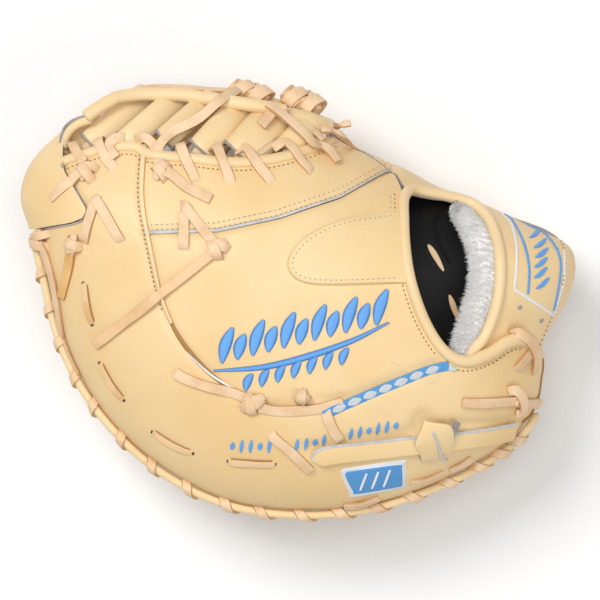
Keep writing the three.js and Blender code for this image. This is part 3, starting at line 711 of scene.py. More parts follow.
class Tree:
    """A material's nodes."""

    def __init__(self, name: str) -> None:
        """Starts a material with its Principled shader."""
        self.material = bpy.data.materials.new(name)
        self.material.use_nodes = True
        self.nodes = self.material.node_tree.nodes
        self.links = self.material.node_tree.links
        self.shader = self.nodes["Principled BSDF"]

    def feed(self, slot: Any, value: Any) -> None:
        """Puts a value or a link into an input."""
        if isinstance(value, Socket):
            self.links.new(value.link, slot)
        elif isinstance(value, bpy.types.NodeSocket):
            self.links.new(value, slot)
        elif isinstance(value, (tuple, list)) and len(value) == 3 and slot.type == "RGBA":
            slot.default_value = (*value, 1.0)
        else:
            slot.default_value = value

    def node(self, kind: str, settings: dict[str, Any] | None = None, **inputs: Any) -> bpy.types.Node:
        """Any node of the tree.

        Args:
            kind: Its type, without ShaderNode.
            settings: Its own settings, set first.
            **inputs: Values or links of its sockets, with _ for a space.

        Returns:
            The node.
        """
        node = self.nodes.new("ShaderNode" + kind)
        for name, value in (settings or {}).items():
            setattr(node, name, value)
        for name, value in inputs.items():
            self.feed(node.inputs[name.replace("_", " ")], value)
        return node

    def value(
        self, kind: str, settings: dict[str, Any] | None = None, out: int | str = 0, **inputs: Any
    ) -> Socket:
        """One output of a new node."""
        return Socket(self, self.node(kind, settings, **inputs).outputs[out])

    def mixed(self, factor: Any, first: Any, second: Any) -> Socket:
        """Two colours mixed."""
        node = self.nodes.new("ShaderNodeMix")
        node.data_type = "RGBA"
        for k, value in ((0, factor), (6, first), (7, second)):
            self.feed(node.inputs[k], value)
        return Socket(self, node.outputs[2])

    def place(self) -> Socket:
        """The Object coordinates."""
        return self.value("TexCoord", None, "Object")

    def round_and_along(self) -> tuple[Socket, Socket]:
        """The UV map of what is swept: 1 at its sides and 0 on its faces, and the run in millimetres."""
        split = self.node("SeparateXYZ", None, Vector=self.value("TexCoord", None, "UV"))
        turn = (Socket(self, split.outputs[0]) * TURN).math("COSINE").math("ABSOLUTE")
        return turn, Socket(self, split.outputs[1])

    def bump(self, strength: float, distance: float, height: Any, **more: Any) -> Socket:
        """A bump from a height, over a distance in metres."""
        return self.value("Bump", None, 0, Strength=strength, Distance=distance, Height=height, **more)

    def finish(self, **sockets: Any) -> bpy.types.Material:
        """Feeds the Principled shader's sockets and gives the material."""
        for name, value in sockets.items():
            self.feed(self.shader.inputs[name.replace("_", " ")], value)
        return self.material


def noise(tree: Tree, where: Any, scale: float, detail: float = 2.0, rough: float = 0.5) -> Socket:
    """Soft noise at a scale per metre."""
    return tree.value("TexNoise", None, 0, Vector=where, Scale=scale, Detail=detail, Roughness=rough)


@dataclass(frozen=True)
class Leather:
    """Tanned steerhide: a tone and its darker cloud, pebble height and gloss."""

    name: str
    tone: tuple[float, float, float] = (0.86, 0.640, 0.350)
    cloud: tuple[float, float, float] = (0.81, 0.570, 0.275)
    pebble: float = 0.10
    gloss: float = 0.46
    pore: tuple[float, float, float] = (0.62, 0.40, 0.17)
    glow: float = 0.12
    shine: float = 0.42

    def made(self) -> bpy.types.Material:
        """The material."""
        tree = Tree(self.name)
        where = tree.place()
        drift = noise(tree, where, 14.0, 3.0)
        fine = noise(tree, where, 420.0, 4.0, 0.6)
        tone = tree.mixed(drift.step(0.35, 0.7), self.tone, self.cloud)
        pores = tree.value("TexVoronoi", {"feature": "F1"}, 0, Vector=where, Scale=950.0)
        cells = tree.value("TexVoronoi", {"feature": "DISTANCE_TO_EDGE"}, 0, Vector=where, Scale=620.0)
        speck = (fine - 0.5) * 0.10
        tone = tree.mixed(speck + 0.06, tone, self.pore)
        height = cells.step(0.0, 0.09) * 0.5 + fine * 0.5 + (1.0 - pores.step(0.0, 0.25)) * -0.3
        bump = tree.bump(self.pebble, 0.0004, height)
        wide = tree.bump(0.10, 0.002, noise(tree, where, 60.0, 2.0), Normal=bump)
        for socket, value in (("Subsurface Weight", self.glow), ("Subsurface Scale", 0.004)):
            tree.shader.inputs[socket].default_value = value
        tree.shader.inputs["Subsurface Radius"].default_value = (1.0, 0.45, 0.18)
        rough = (fine - 0.5) * 0.14 + self.gloss
        return tree.finish(Base_Color=tone, Roughness=rough, Normal=wide, Specular_IOR_Level=self.shine)


@dataclass(frozen=True)
class CutEdge:
    """The raw edge of leather: felt-like fibres."""

    name: str
    light: tuple[float, float, float] = (0.42, 0.39, 0.38)
    dark: tuple[float, float, float] = (0.22, 0.19, 0.18)

    def made(self) -> bpy.types.Material:
        """The material."""
        tree = Tree(self.name)
        where = tree.place()
        fibre = noise(tree, where, 1600.0, 3.0, 0.7)
        patch = noise(tree, where, 160.0, 2.0)
        tone = tree.mixed((fibre * 0.7 + patch * 0.5).step(0.35, 0.8), self.dark, self.light)
        bump = tree.bump(0.5, 0.0004, fibre)
        return tree.finish(Base_Color=tone, Roughness=0.95, Normal=bump)


@dataclass(frozen=True)
class LaceLeather:
    """Rawhide lace: pinkish tan faces with speckled grain, and cut sides darkened by painted shade that
    stands in for the contact shadow along the lace.

    The UV map runs once round the section along u and in millimetres along v.
    """

    name: str
    face: tuple[float, float, float] = (0.83, 0.60, 0.38)
    worn: tuple[float, float, float] = (0.72, 0.47, 0.26)
    # Brown of the lace's dark spots and of its cut sides; on the sides it is painted contact shade.
    side: tuple[float, float, float] = (0.50, 0.27, 0.11)

    def made(self) -> bpy.types.Material:
        """The material."""
        tree = Tree(self.name)
        where = tree.place()
        turn, _ = tree.round_and_along()
        drift = noise(tree, where, 55.0, 3.0)
        speck = noise(tree, where, 900.0, 3.0, 0.7)
        spots = tree.value("TexVoronoi", {"feature": "F1"}, 0, Vector=where, Scale=520.0)
        tone = tree.mixed(drift.step(0.40, 0.72), self.face, self.worn)
        tone = tree.mixed((speck.step(0.52, 0.74)) * 0.35, tone, self.worn)
        tone = tree.mixed((1.0 - spots.step(0.0, 0.22)) * 0.35, tone, self.side)
        # Painted shade: the side colour laid over the lace's cut sides stands in for the contact shadow
        # beside it.
        tone = tree.mixed(turn.step(0.86, 1.0) * 0.8, tone, self.side)
        height = speck * 0.6 + spots.step(0.0, 0.3) * 0.4
        bump = tree.bump(0.22, 0.0004, height)
        return tree.finish(Base_Color=tone, Roughness=(speck - 0.5) * 0.12 + 0.66, Normal=bump)


@dataclass(frozen=True)
class Wool:
    """Sheep's wool: off-white strands, greyer in tufts set by noise."""

    name: str
    light: tuple[float, float, float] = (0.97, 0.96, 0.95)
    deep: tuple[float, float, float] = (0.90, 0.88, 0.86)

    def made(self) -> bpy.types.Material:
        """The material."""
        tree = Tree(self.name)
        where = tree.place()
        tuft = noise(tree, where, 260.0, 3.0)
        tone = tree.mixed(tuft.step(0.30, 0.62), self.deep, self.light)
        bump = tree.bump(0.3, 0.0006, noise(tree, where, 900.0, 3.0))
        tree.shader.inputs["Sheen Weight"].default_value = 0.3
        return tree.finish(Base_Color=tone, Roughness=0.95, Normal=bump, Specular_IOR_Level=0.15)


@dataclass(frozen=True)
class SatinThread:
    """Satin stitches: fine threads laid side by side across the stroke, with painted shade darkening its
    sides.

    The UV map runs once round the section along u and in millimetres along v.
    """

    name: str
    light: tuple[float, float, float] = (0.15, 0.43, 0.84)
    # Darker thread tone between fibres, and painted shade on the stroke's sides.
    dark: tuple[float, float, float] = (0.06, 0.22, 0.62)
    pitch: float = 0.42

    def made(self) -> bpy.types.Material:
        """The material."""
        tree = Tree(self.name)
        where = tree.place()
        side, run = tree.round_and_along()
        fibre = (run * (TURN / self.pitch)).math("SINE") * 0.5 + 0.5
        fuzz = noise(tree, where, 1500.0, 2.0)
        tone = tree.mixed((fibre * 0.5 + fuzz * 0.5).step(0.1, 0.7), self.dark, self.light)
        # Painted shade: the stroke's rounded sides are darkened as if turned away from the light.
        tone = tree.mixed(side.step(0.80, 1.0) * 0.7, tone, self.dark)
        bump = tree.bump(0.4, 0.0002, fibre * 0.7 + fuzz * 0.3)
        return tree.finish(Base_Color=tone, Roughness=fuzz * 0.2 + 0.42, Normal=bump)


@dataclass(frozen=True)
class WovenCloth:
    """Twill cloth, with its cross of threads on Object coordinates."""

    name: str
    light: tuple[float, float, float] = (0.12, 0.40, 0.74)
    dark: tuple[float, float, float] = (0.05, 0.20, 0.52)

    def made(self) -> bpy.types.Material:
        """The material."""
        tree = Tree(self.name)
        where = tree.place()
        settings = {"wave_type": "BANDS", "bands_direction": "DIAGONAL"}
        twill = tree.value("TexWave", settings, 1, Vector=where, Scale=420.0, Distortion=1.0)
        fuzz = noise(tree, where, 1200.0, 2.0)
        tone = tree.mixed((twill * 0.6 + fuzz * 0.4).step(0.2, 0.75), self.dark, self.light)
        bump = tree.bump(0.4, 0.0003, twill)
        return tree.finish(Base_Color=tone, Roughness=fuzz * 0.15 + 0.6, Normal=bump)


class Finishes:
    """The mitt's materials, each made once."""

    def __init__(self) -> None:
        """Makes them."""
        self.shell = Leather("blond_shell").made()
        self.roll = Leather("rolled_binding", tone=(0.88, 0.67, 0.39), cloud=(0.82, 0.60, 0.32)).made()
        self.cut = CutEdge("cut_edge").made()
        self.lace = LaceLeather("rawhide").made()
        self.aged = LaceLeather("aged_rawhide", (0.82, 0.55, 0.31), (0.70, 0.43, 0.20)).made()
        # A lace finish's third colour is its sides' brown, which also paints the contact shade along the
        # lace.
        self.oiled = LaceLeather(
            "oiled_rawhide", (0.80, 0.49, 0.19), (0.66, 0.36, 0.11), (0.42, 0.2, 0.06)
        ).made()
        self.sunk = LaceLeather(
            "worn_rawhide", (0.84, 0.58, 0.32), (0.70, 0.42, 0.18), (0.46, 0.24, 0.08)
        ).made()
        black = (0.004, 0.004, 0.004), (0.008, 0.007, 0.007)
        self.lining = Leather("black_lining", *black, pore=(0.02, 0.02, 0.02), glow=0, shine=0.22).made()
        self.wool = Wool("wool").made()
        self.blue = SatinThread("blue_satin").made()
        # A satin finish's second colour is its darker tone, which also paints shade on the strokes' sides.
        self.deep_blue = SatinThread("deep_blue_satin", (0.07, 0.25, 0.60), (0.04, 0.15, 0.42)).made()
        self.white = SatinThread("white_satin", (0.88, 0.88, 0.87), (0.66, 0.67, 0.70)).made()
        self.pale = SatinThread("pale_satin", (0.62, 0.66, 0.68), (0.44, 0.49, 0.53)).made()
        self.blue_cloth = WovenCloth("blue_twill").made()
        self.thread = Leather("thread", (0.86, 0.80, 0.68), (0.7, 0.62, 0.5)).made()
        self.dark_thread = Leather("brown_thread", (0.30, 0.18, 0.08), (0.2, 0.11, 0.05)).made()
        self.dark = Leather(
            "slot_shadow", (0.10, 0.07, 0.05), (0.06, 0.04, 0.03), pore=(0.03, 0.02, 0.02), glow=0
        ).made()
        self.pale_cut = CutEdge("pale_cut_edge", (0.66, 0.66, 0.67), (0.44, 0.43, 0.43)).made()
        self.shade = Leather(
            "seam_shade", (0.42, 0.22, 0.07), (0.34, 0.17, 0.05), pore=(0.2, 0.1, 0.03), glow=0
        ).made()

    def leather(self, made: bpy.types.Object, *nodes: str) -> bpy.types.Object:
        """Dresses a panel of shell leather, which has cut edges."""
        return dress(made, "shell", self.shell, self.cut, nodes=nodes)

    def rolled(self, made: bpy.types.Object, *nodes: str) -> bpy.types.Object:
        """Dresses a rolled binding."""
        Make.rounded(made, 60)
        return dress(made, "shell", self.roll, nodes=nodes)


def dress(
    made: bpy.types.Object, slot: str, *materials: bpy.types.Material, nodes: Sequence[str] = ()
) -> bpy.types.Object:
    """Gives a piece its materials, its body and the CAD nodes that it stands for.

    Args:
        made: The piece.
        slot: Not used.
        *materials: Its materials, by slot.
        nodes: The CAD nodes that it replaces.

    Returns:
        The piece.
    """
    index = np.zeros(len(made.data.polygons), np.int32)
    made.data.polygons.foreach_get("material_index", index)
    made.data.materials.clear()
    for material in materials:
        made.data.materials.append(material)
    made.data.polygons.foreach_set("material_index", np.minimum(index, len(materials) - 1))
    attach(made, "root")
    if nodes:
        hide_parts(*nodes)
    LOG.info("%s: %d faces", made.name, len(made.data.polygons))
    return made


class Relief:
    """What rises and sinks on the back's leather: seams, slots and soft dents, in millimetres."""

    SEAMS = (BACK_SEAM, INDEX_LOW, CROTCH_SIDE, TIP_EDGE)
    VALLEYS = (
        (
            through(
                (
                    (1.0, -14.6), (6.0, -13.8), (10.6, -13.2), (12.0, -11.5), (13.6, -12.4), (17.0, -12.4),
                    (22.0, -12.2),
                ),
                8,
            ),
            2.2, 4.2,
        ),
        (through(((3.0, -10.2), (7.0, -8.6), (10.0, -7.35), (13.6, -6.0)), 8), 1.4, 3.2),
        (through(((-4.0, -10.2), (0.0, -10.1), (4.0, -9.6)), 8), 1.2, 3.6),
    )

    def __init__(self) -> None:
        """Sets the seam lines at fine steps."""
        self.seams = [even(to_mm(line), 1.0) for line in self.SEAMS]

    def lift(self, places: np.ndarray) -> np.ndarray:
        """The leather's rise over the sheet at places."""
        flat = to_mm(places)
        found = np.zeros(len(flat))
        for line in self.seams:
            away = from_line(flat, line)
            found -= SEAM_DEPTH * np.exp(-((away / SEAM_HALF) ** 2))
        for line, deep, wide in self.VALLEYS:
            found -= deep * np.exp(-((from_line(flat, even(to_mm(line), 1.5)) / wide) ** 2))
        x, y = flat[:, 0], flat[:, 1]
        found += 0.35 * np.sin(x / 23.0 + y / 31.0) * np.sin(y / 19.0 - x / 47.0)
        return found


RELIEF = Relief()


@dataclass
class Band:
    """A panel of a sheet between two lines round the hub, with None for the hub and for the sheet's own rim.

    It runs from start to stop in degrees. Between the two turns of drop it sinks to the strap's depth.
    """

    name: str
    inner: Rail | None
    outer: Rail | None
    start: float
    stop: float
    sheet: Sheet = BACK
    step: float = 2.4
    margin: tuple[float, float] = (0.4, 0.4)
    lift: float = 0.0
    drop: tuple[float, float] | None = None

    def shares(self, angle: np.ndarray) -> tuple[np.ndarray, np.ndarray]:
        """The panel's two limits as shares of its sheet."""
        size = np.linalg.norm(OUTLINE.rim(angle), axis=-1)
        low, high = np.zeros_like(angle), np.ones_like(angle)
        if self.inner is not None:
            low = self.inner.at(self.sheet, angle) + self.margin[0] / size
        if self.outer is not None:
            high = self.outer.at(self.sheet, angle) - self.margin[1] / size
        return low, np.minimum(np.maximum(high, low + 0.002), 1.0)

    def surface(self) -> np.ndarray:
        """The panel's points in millimetres, as rows by columns by 3."""
        first, last = math.radians(self.start), math.radians(self.stop)
        columns = int(round((last - first) * MEAN_REACH / self.step)) + 1
        angle = np.linspace(first, last, columns)
        low, high = self.shares(angle)
        count = max(int(round(float((high - low).max()) * MEAN_REACH / self.step)), 3) + 1
        t = np.linspace(0, 1, count)[:, None]
        share = low + (high - low) * t
        spread = np.broadcast_to(angle, share.shape)
        up = self.sheet.normal(spread, share)
        at = self.sheet.point(spread, share)
        if self.sheet is BACK:
            rise = RELIEF.lift(to_places(at[..., :2].reshape(-1, 2))).reshape(share.shape)
            if self.drop:
                rise = rise - STRAP_DROP * smooth(-self.drop[0], -self.drop[1], -np.degrees(spread))
            at = at + up * (rise + self.lift)[..., None]
        return at

    def build(self) -> bpy.types.Object:
        """The panel's leather, with its thickness."""
        made = Make.grid(self.name, self.surface()[:, ::-1])
        if self.inner is None:
            Make.weld(made, 0.05)
        return Make.leather(made, WALL)


def turn_of(x: float, y: float) -> float:
    """The turn of a place round the hub, in degrees from 0 to 360."""
    return math.degrees(math.atan2(y / (Y_SHARES / 2), x / (X_SHARES / 2))) % 360


def roll(
    name: str, places: np.ndarray, width: float, lift: float = 0.0, sheet: Sheet = BACK
) -> bpy.types.Object:
    """A rolled edge along places on a sheet."""
    at, up = sheet.on(to_places(even(to_mm(places), 3.0)), lift)
    return swept(name, Station.of(at, up, width / 2, width / 2 - 0.7), Section.ROUND, 18, 0.6)


@dataclass
class BackOfMitt:
    """The leather of the fingers' back: panels between seams."""

    finishes: Finishes

    def outer_panel(self) -> bpy.types.Object:
        """The crescent outside the long seam, from the web round to the heel."""
        end = through(
            (
                (14.2, -6.3), (14.9, -5.75), (16.2, -6.0), (18.4, -5.4), (20.4, -4.2), (22.0, -4.0),
                (22.7, -4.15),
            ),
            8,
        )
        inner = Rail(np.vstack([BACK_SEAM, end[1:]]))
        web = WEB_EDGE[WEB_EDGE[:, 0] <= -15.5]
        tip = TIP_EDGE[TIP_EDGE[:, 1] <= 13.2]
        far = straight((TIP_CORNERS[1], (-30.0, 6.4)))
        outer = Rail(np.vstack([web[::-1], tip, far[1:]]))
        start, stop = turn_of(-15.5, 15.2), turn_of(22.7, -4.15)
        band = CutBand(
            "outer_leather", inner, None, start, stop, limit=outer, limit_stop=turn_of(-27.4, 7.0),
            heel=Rail(through(HEEL_EDGE, 8)), heel_start=turn_of(*HEEL_EDGE[0]),
        )
        return self.finishes.leather(band.build(), "outer_panel")

    def tip_cap(self) -> bpy.types.Object:
        """The cap over the finger tips' corner."""
        start, stop = (turn_of(*corner) for corner in TIP_CORNERS)
        band = Band("tip_leather", Rail(TIP_EDGE), None, start, stop, sheet=TIP_SHEET, lift=0.3)
        under = OUTLINE.rim(np.radians(np.linspace(start, stop, 40)))
        self.finishes.rolled(roll("tip_rim_roll", to_places(under * TIP_UNDER), 4.4, -4.6, TIP_SHEET))
        return self.finishes.leather(band.build(), "tip_cap")

    def inner_panel(self) -> bpy.types.Object:
        """The middle of the back, round the hub."""
        low = BACK_SEAM[BACK_SEAM[:, 1] <= 6.0]
        side = OPENING_SIDE[(OPENING_SIDE[:, 0] <= 15.1) & (OPENING_SIDE[:, 1] <= 10.9)]
        ring = Rail(np.vstack([side[::-1], INDEX_LOW[::-1], low]))
        start = turn_of(14.2, -6.3)
        band = Band("inner_leather", None, ring, start, start + 360, margin=(0, 0.4))
        return self.finishes.leather(band.build(), "inner_panel")

    def index_panel(self) -> bpy.types.Object:
        """The forefinger's panel, along the web."""
        seam = BACK_SEAM[BACK_SEAM[:, 1] >= 6.4]
        web = WEB_EDGE[(WEB_EDGE[:, 0] >= -15.4) & (WEB_EDGE[:, 0] <= 3.2)]
        outer = Rail(np.vstack([CROTCH_SIDE, web[::-1], seam]))
        band = Band("index_leather", Rail(INDEX_LOW), outer, turn_of(9.2, 13.2), turn_of(-15.2, 6.5))
        return self.finishes.leather(band.build(), "index_panel")

    def crotch_panel(self) -> bpy.types.Object:
        """The small panel between the web's end and the strap."""
        inner = Rail(
            np.vstack([straight(((17.6, 9.9), (14.6, 10.7), (10.6, 11.0), (9.2, 13.2))), CROTCH_SIDE[1:]])
        )
        band = Band(
            "crotch_leather", inner, None, turn_of(*STRAP_STOP) + 0.2, turn_of(3.4, 17.3), drop=(59.0, 45.0)
        )
        return self.finishes.leather(band.build(), "crotch_panel")

    def bindings(self) -> None:
        """The rolled edges of the hand opening and of the web's side."""
        corner = through(
            ((10.15, 8.6, 0.0), (10.3, 10.2, 0.0), (11.2, 11.15, -1.4), (13.0, 11.1, STRAP_LIFT + 0.6)), 8
        )
        low = np.argmax(OPENING_SIDE[:, 1] < 8.4)
        strap = STRAP_SIDE[(STRAP_SIDE[:, 0] > 13.8) | (STRAP_SIDE[:, 1] < 5)]
        line = np.vstack(
            [
                np.column_stack([OPENING_SIDE[low:][::-1], np.zeros(len(OPENING_SIDE) - low)]),
                corner,
                np.column_stack([strap, np.full(len(strap), STRAP_LIFT + 0.6)]),
            ]
        )
        gap = 2.5
        flat = even(np.column_stack([to_mm(line[:, :2]), line[:, 2]]), gap)
        run = np.arange(len(flat)) * gap
        flat[:, 2] = smoothed(flat[:, 2], 4) - HEEL_DIP * (1 - smooth(0.0, HEEL_DIP_RUN, run[::-1]))
        at, up = BACK.on(to_places(flat[:, :2]), flat[:, 2])
        wave = 0.03 * np.sin(np.arange(len(at)) / 5.0)
        half = OPENING_LOOP / 2 * (1 + wave + HEEL_SWELL * (1 - smooth(30.0, 75.0, run)))
        opening = swept("opening_loop", Station.of(at, up, half, OPENING_LOOP / 2), Section.ROUND, 20, 0.6)
        self.finishes.rolled(opening, "opening_binding", "strap_binding")
        self.finishes.rolled(roll("web_edge_roll", WEB_EDGE, WEB_EDGE_ROLL), "web_edge_binding")

    def build(self) -> None:
        """Builds every panel."""
        self.outer_panel()
        self.tip_cap()
        self.inner_panel()
        self.index_panel()
        self.crotch_panel()
        self.bindings()


@dataclass
class CutBand(Band):
    """A band whose outer edge is a second line up to a turn, and the sheet's rim past it."""

    limit: Rail | None = None
    limit_stop: float = 0.0
    heel: Rail | None = None
    heel_start: float = 360.0

    def shares(self, angle: np.ndarray) -> tuple[np.ndarray, np.ndarray]:
        """The panel's two limits."""
        low, high = super().shares(angle)
        if self.limit is not None:
            size = np.linalg.norm(OUTLINE.rim(angle), axis=-1)
            cut = self.limit.at(self.sheet, angle) - self.margin[1] / size
            near = np.mod(np.degrees(angle), 360) <= self.limit_stop
            high = np.where(near, np.minimum(cut, high), high)
        if self.heel is not None:
            far = np.mod(np.degrees(angle), 360) >= self.heel_start
            high = np.where(far, np.minimum(self.heel.at(self.sheet, angle), high), high)
        return low, np.maximum(high, low + 0.002)


@dataclass
class WristStrap:
    """The strap over the wrist and the wool pad behind it."""

    finishes: Finishes
    strand_count: int = 11000

    def strap(self) -> bpy.types.Object:
        """The strap's leather."""
        side = STRAP_SIDE[STRAP_SIDE[:, 1] <= 10.5]
        under = Rail(
            straight(((21.0, -9.0), (22.6, -8.0), (23.9, -6.9), (25.4, -6.35), (27.2, -5.4), (29.5, 0.0)))
        )
        band = CutBand(
            "strap_leather", Rail(side), None, -28.0, turn_of(*STRAP_STOP),
            margin=(-1.5, 0.4), heel=under, heel_start=330.0,
        )
        points = BACK.raised(band.surface(), -STRAP_DROP)
        return self.finishes.leather(
            Make.leather(Make.grid(band.name, points[:, ::-1]), WALL), "wrist_strap"
        )

    def wool(self) -> bpy.types.Object:
        """The wool pad: a soft body under thousands of tapered strands."""
        line = through(WOOL_LINE, 12)
        t = np.linspace(0, 1, len(line))
        swell = 0.62 + 0.38 * np.sin(math.pi * t) ** 0.7
        depth = FLEECE_DEPTH / 2 * swell
        lift = STRAP_LIFT - OPENING_LOOP / 2 - depth + 1.3
        at, up = BACK.on(line, lift)
        half = WOOL_HALF * swell
        body = swept("wool_pad", Station.of(at, up, half, depth), Section.ROUND, 28, 0.8)
        inward = unit(np.cross(up, unit(np.gradient(at, axis=0))))
        if inward[len(at) // 2, 0] > 0:
            inward = -inward
        whole = Make.join("wool_pad", [body, self.strands(at, up, inward, half, depth)])
        Make.rounded(whole, 60)
        return dress(whole, "fleece", self.finishes.wool, nodes=["fleece"])

    def strands(
        self, at: np.ndarray, up: np.ndarray, inward: np.ndarray, half: np.ndarray, depth: np.ndarray
    ) -> bpy.types.Object:
        """The pile: strands that lean from the strap towards the opening, in tufts."""
        draw = np.random.default_rng(11)
        count = self.strand_count
        Make.clear()
        bpy.ops.mesh.primitive_cone_add(
            vertices=4, radius1=1, radius2=0.12, depth=1, end_fill_type="NOTHING"
        )
        bpy.ops.object.mode_set(mode="EDIT")
        bpy.ops.mesh.bisect(plane_co=(0, 0, 0.0), plane_no=(0, 0, 1))
        bpy.ops.object.mode_set(mode="OBJECT")
        shape, faces = Make.shape_of(bpy.context.object)
        spot = draw.uniform(0, len(at) - 1.001, count)
        k = spot.astype(int)
        f = (spot - k)[:, None]

        def between(rows: np.ndarray) -> np.ndarray:
            """Rows read between stations."""
            rows = rows if rows.ndim > 1 else rows[:, None]
            return rows[k] * (1 - f) + rows[k + 1] * f

        turn = draw.uniform(-1.1, math.pi * 0.85, count)[:, None]
        middle, rise, into = between(at), unit(between(up)), unit(between(inward))
        wide, high = between(half), between(depth)
        root = middle + into * np.cos(turn) * wide * 0.94 + rise * np.sin(turn) * high * 0.94
        tuft = np.sin(spot * 2.6 + np.cos(turn[:, 0] * 5.0) * 1.4)[:, None]
        along = np.cross(rise, into)
        way = into * (0.85 + 0.25 * np.cos(turn)) + rise * (0.30 + 0.5 * np.maximum(np.sin(turn), 0))
        lean = 0.28 * tuft + draw.normal(0, 0.16, (count, 1))
        way = unit(way + along * lean + draw.normal(0, 0.10, (count, 3)))
        long = (4.4 + 1.3 * tuft + draw.normal(0, 0.8, (count, 1))).clip(2.2, 8.0)
        thick = draw.uniform(0.16, 0.30, (count, 1))
        across = unit(np.cross(way, along + 0.01))
        other = np.cross(way, across)
        t = shape[None, :, 2:3] + 0.5
        droop = -rise[:, None] * t**2 * draw.uniform(0.2, 1.4, (count, 1))[:, None]
        points = (
            root[:, None] + way[:, None] * t * long[:, None] + droop
            + across[:, None] * shape[None, :, 0:1] * thick[:, None]
            + other[:, None] * shape[None, :, 1:2] * thick[:, None]
        )
        made = Make.copies("wool_strands", points, faces)
        made.data.uv_layers.new(name="UVMap")
        return made

    def build(self) -> None:
        """Builds the strap's pieces."""
        self.strap()
        self.wool()


@dataclass
class Pocket:
    """The pocket leather, the thumb half's back and the black lining.

    The fold runs between two angles in radians. Columns per degree and rings set how fine a dome is.
    """

    finishes: Finishes
    fold_from: float = -0.16
    fold_to: float = 1.4
    per_degree: float = 0.575
    rings: int = 32
    web_start: float = field(default_factory=lambda: turn_of(3.4, 17.0))
    web_stop: float = field(default_factory=lambda: turn_of(-23.6, 15.6))

    def dome(self, name: str, sheet: Sheet) -> bpy.types.Object:
        """A domed shell with the web's window cut out, between two small steps of its outline."""
        start, stop = self.web_start, self.web_stop
        turns = np.concatenate(
            [
                np.linspace(stop - 360, start, int((start - stop + 360) * self.per_degree)),
                np.linspace(start + 0.4, stop - 0.4, int((stop - start) * self.per_degree)),
                [stop],
            ]
        )
        angle = np.radians(turns)
        web = Rail(WEB_EDGE).at(sheet, angle) - 0.004
        inside = (turns > start) & (turns < stop)
        high = np.where(inside, web, 1.0)
        share = (1 - (1 - np.linspace(0, 1, self.rings)) ** 1.35)[:, None] * high
        made = Make.grid(name, sheet.point(np.broadcast_to(angle, share.shape), share)[:, ::-1])
        Make.weld(made)
        return made

    def fold(self) -> bpy.types.Object:
        """The strip that joins the pocket's two walls along the closed side."""
        angle = np.linspace(self.fold_from, self.fold_to, 80)
        rim = OUTLINE.rim(angle)
        size = np.linalg.norm(rim, axis=-1)
        outer, inner = CEILING.inset_at(angle), FLOOR.inset_at(angle)
        flat = rim * ((size - (outer + inner + PALM_WALL) / 2) / size)[:, None]
        at = np.column_stack([flat, OUTLINE.column("ceiling", angle) * HEIGHT + PALM_WALL / 4])
        half = (inner - outer + PALM_WALL) / 2
        return swept("fold", Station.of(at, upright(len(at)), half, PALM_WALL / 2), Section.FLATTENED, 12)

    def palm(self) -> bpy.types.Object:
        """The pocket's leather."""
        upper = self.dome("palm_upper", CEILING)
        lower = self.dome("palm_lower", FLOOR)
        for made, want in ((upper, 1), (lower, -1)):
            Make.face(made, want)
            Make.walled(made, PALM_WALL, even=False)
        whole = Make.join("palm_leather", [upper, lower, self.fold()])
        Make.rounded(whole)
        return self.finishes.leather(whole, "palm")

    def thumb(self) -> bpy.types.Object:
        """The thumb half's back."""
        made = Make.leather(self.dome("thumb_leather", THUMB), WALL, want=-1, even=False)
        return self.finishes.leather(made, "thumb_back")

    def lining(self) -> bpy.types.Object:
        """The black lining of the hand space."""
        ring = through(
            (
                (22.6, -5.4), (24, 0), (22.8, 6), (19, 9.6), (12, 12.4), (4, 10), (-4, 8), (-6, 0),
                (-4, -8), (8, -8), (22.6, -5.4),
            )
        )
        band = Band("hand_cloth", None, Rail(ring[:-1]), 0.0, 360.0, sheet=CEILING, step=3.0, margin=(0, 0))
        made = Make.grid(band.name, CEILING.raised(band.surface(), LINING_WALL + GAP))
        Make.weld(made)
        Make.leather(made, LINING_WALL)
        return dress(made, "lining", self.finishes.lining, self.finishes.lining, nodes=["hand_lining"])

    def build(self) -> None:
        """Builds the pocket's pieces."""
        self.palm()
        self.thumb()
        self.lining()


@dataclass
class Rims:
    """The bindings of the two open rims."""

    finishes: Finishes

    def binding(self, side: str, sheet: Sheet, down: int, turns: tuple[float, float]) -> None:
        """One rim's binding, between two turns in degrees."""
        angle = np.radians(np.linspace(*turns, 190))
        rim = OUTLINE.rim(angle)
        size = np.linalg.norm(rim, axis=-1)
        flat = rim * ((size - sheet.inset + RIM_WIDTH / 2 + GAP) / size)[:, None]
        z = OUTLINE.column(sheet.edge, angle) * HEIGHT - down * RIM_DEPTH * 0.2
        at = np.column_stack([flat, z])
        station = Station.of(at, upright(len(at)), RIM_WIDTH / 2, RIM_DEPTH / 2)
        made = swept(f"{side}_rim_roll", station, Section.FLATTENED, 16, 0.5)
        self.finishes.rolled(made, f"{side}_rim_binding")

    def build(self) -> None:
        """Builds both."""
        self.binding("finger", BACK, 1, (163.0, 328.0))
        self.binding("thumb", THUMB, -1, (150.0, 340.0))


@dataclass(frozen=True)
class Bar:
    """A rolled web bar: where it leaves the fingers' edge, where it crosses the ridge, and its width."""

    name: str
    start: tuple[float, float]
    over: tuple[float, float]
    width: float
    deep: float = 4.4

    def arch(self, lean: np.ndarray, lift: float = 0.0) -> tuple[np.ndarray, np.ndarray]:
        """Points of the arch at turns up from the ridge, with their outward directions."""
        start = to_mm(np.array(self.start))
        out = to_mm(np.array(self.over)) - start
        place = np.array([self.start])
        top = BACK.on(place)[0][0, 2] - BAR_DEPTH / 2
        bottom = THUMB.on(place)[0][0, 2] + BAR_DEPTH / 2
        reach, rise = np.linalg.norm(out), (top - bottom) / 2
        way = out / reach
        c, s = np.cos(lean), np.sin(lean)
        up = unit(np.column_stack([way[0] * c / reach, way[1] * c / reach, s / rise]))
        at = np.column_stack([start + way * (reach * c)[:, None], bottom + rise + rise * s])
        return at + up * lift, up


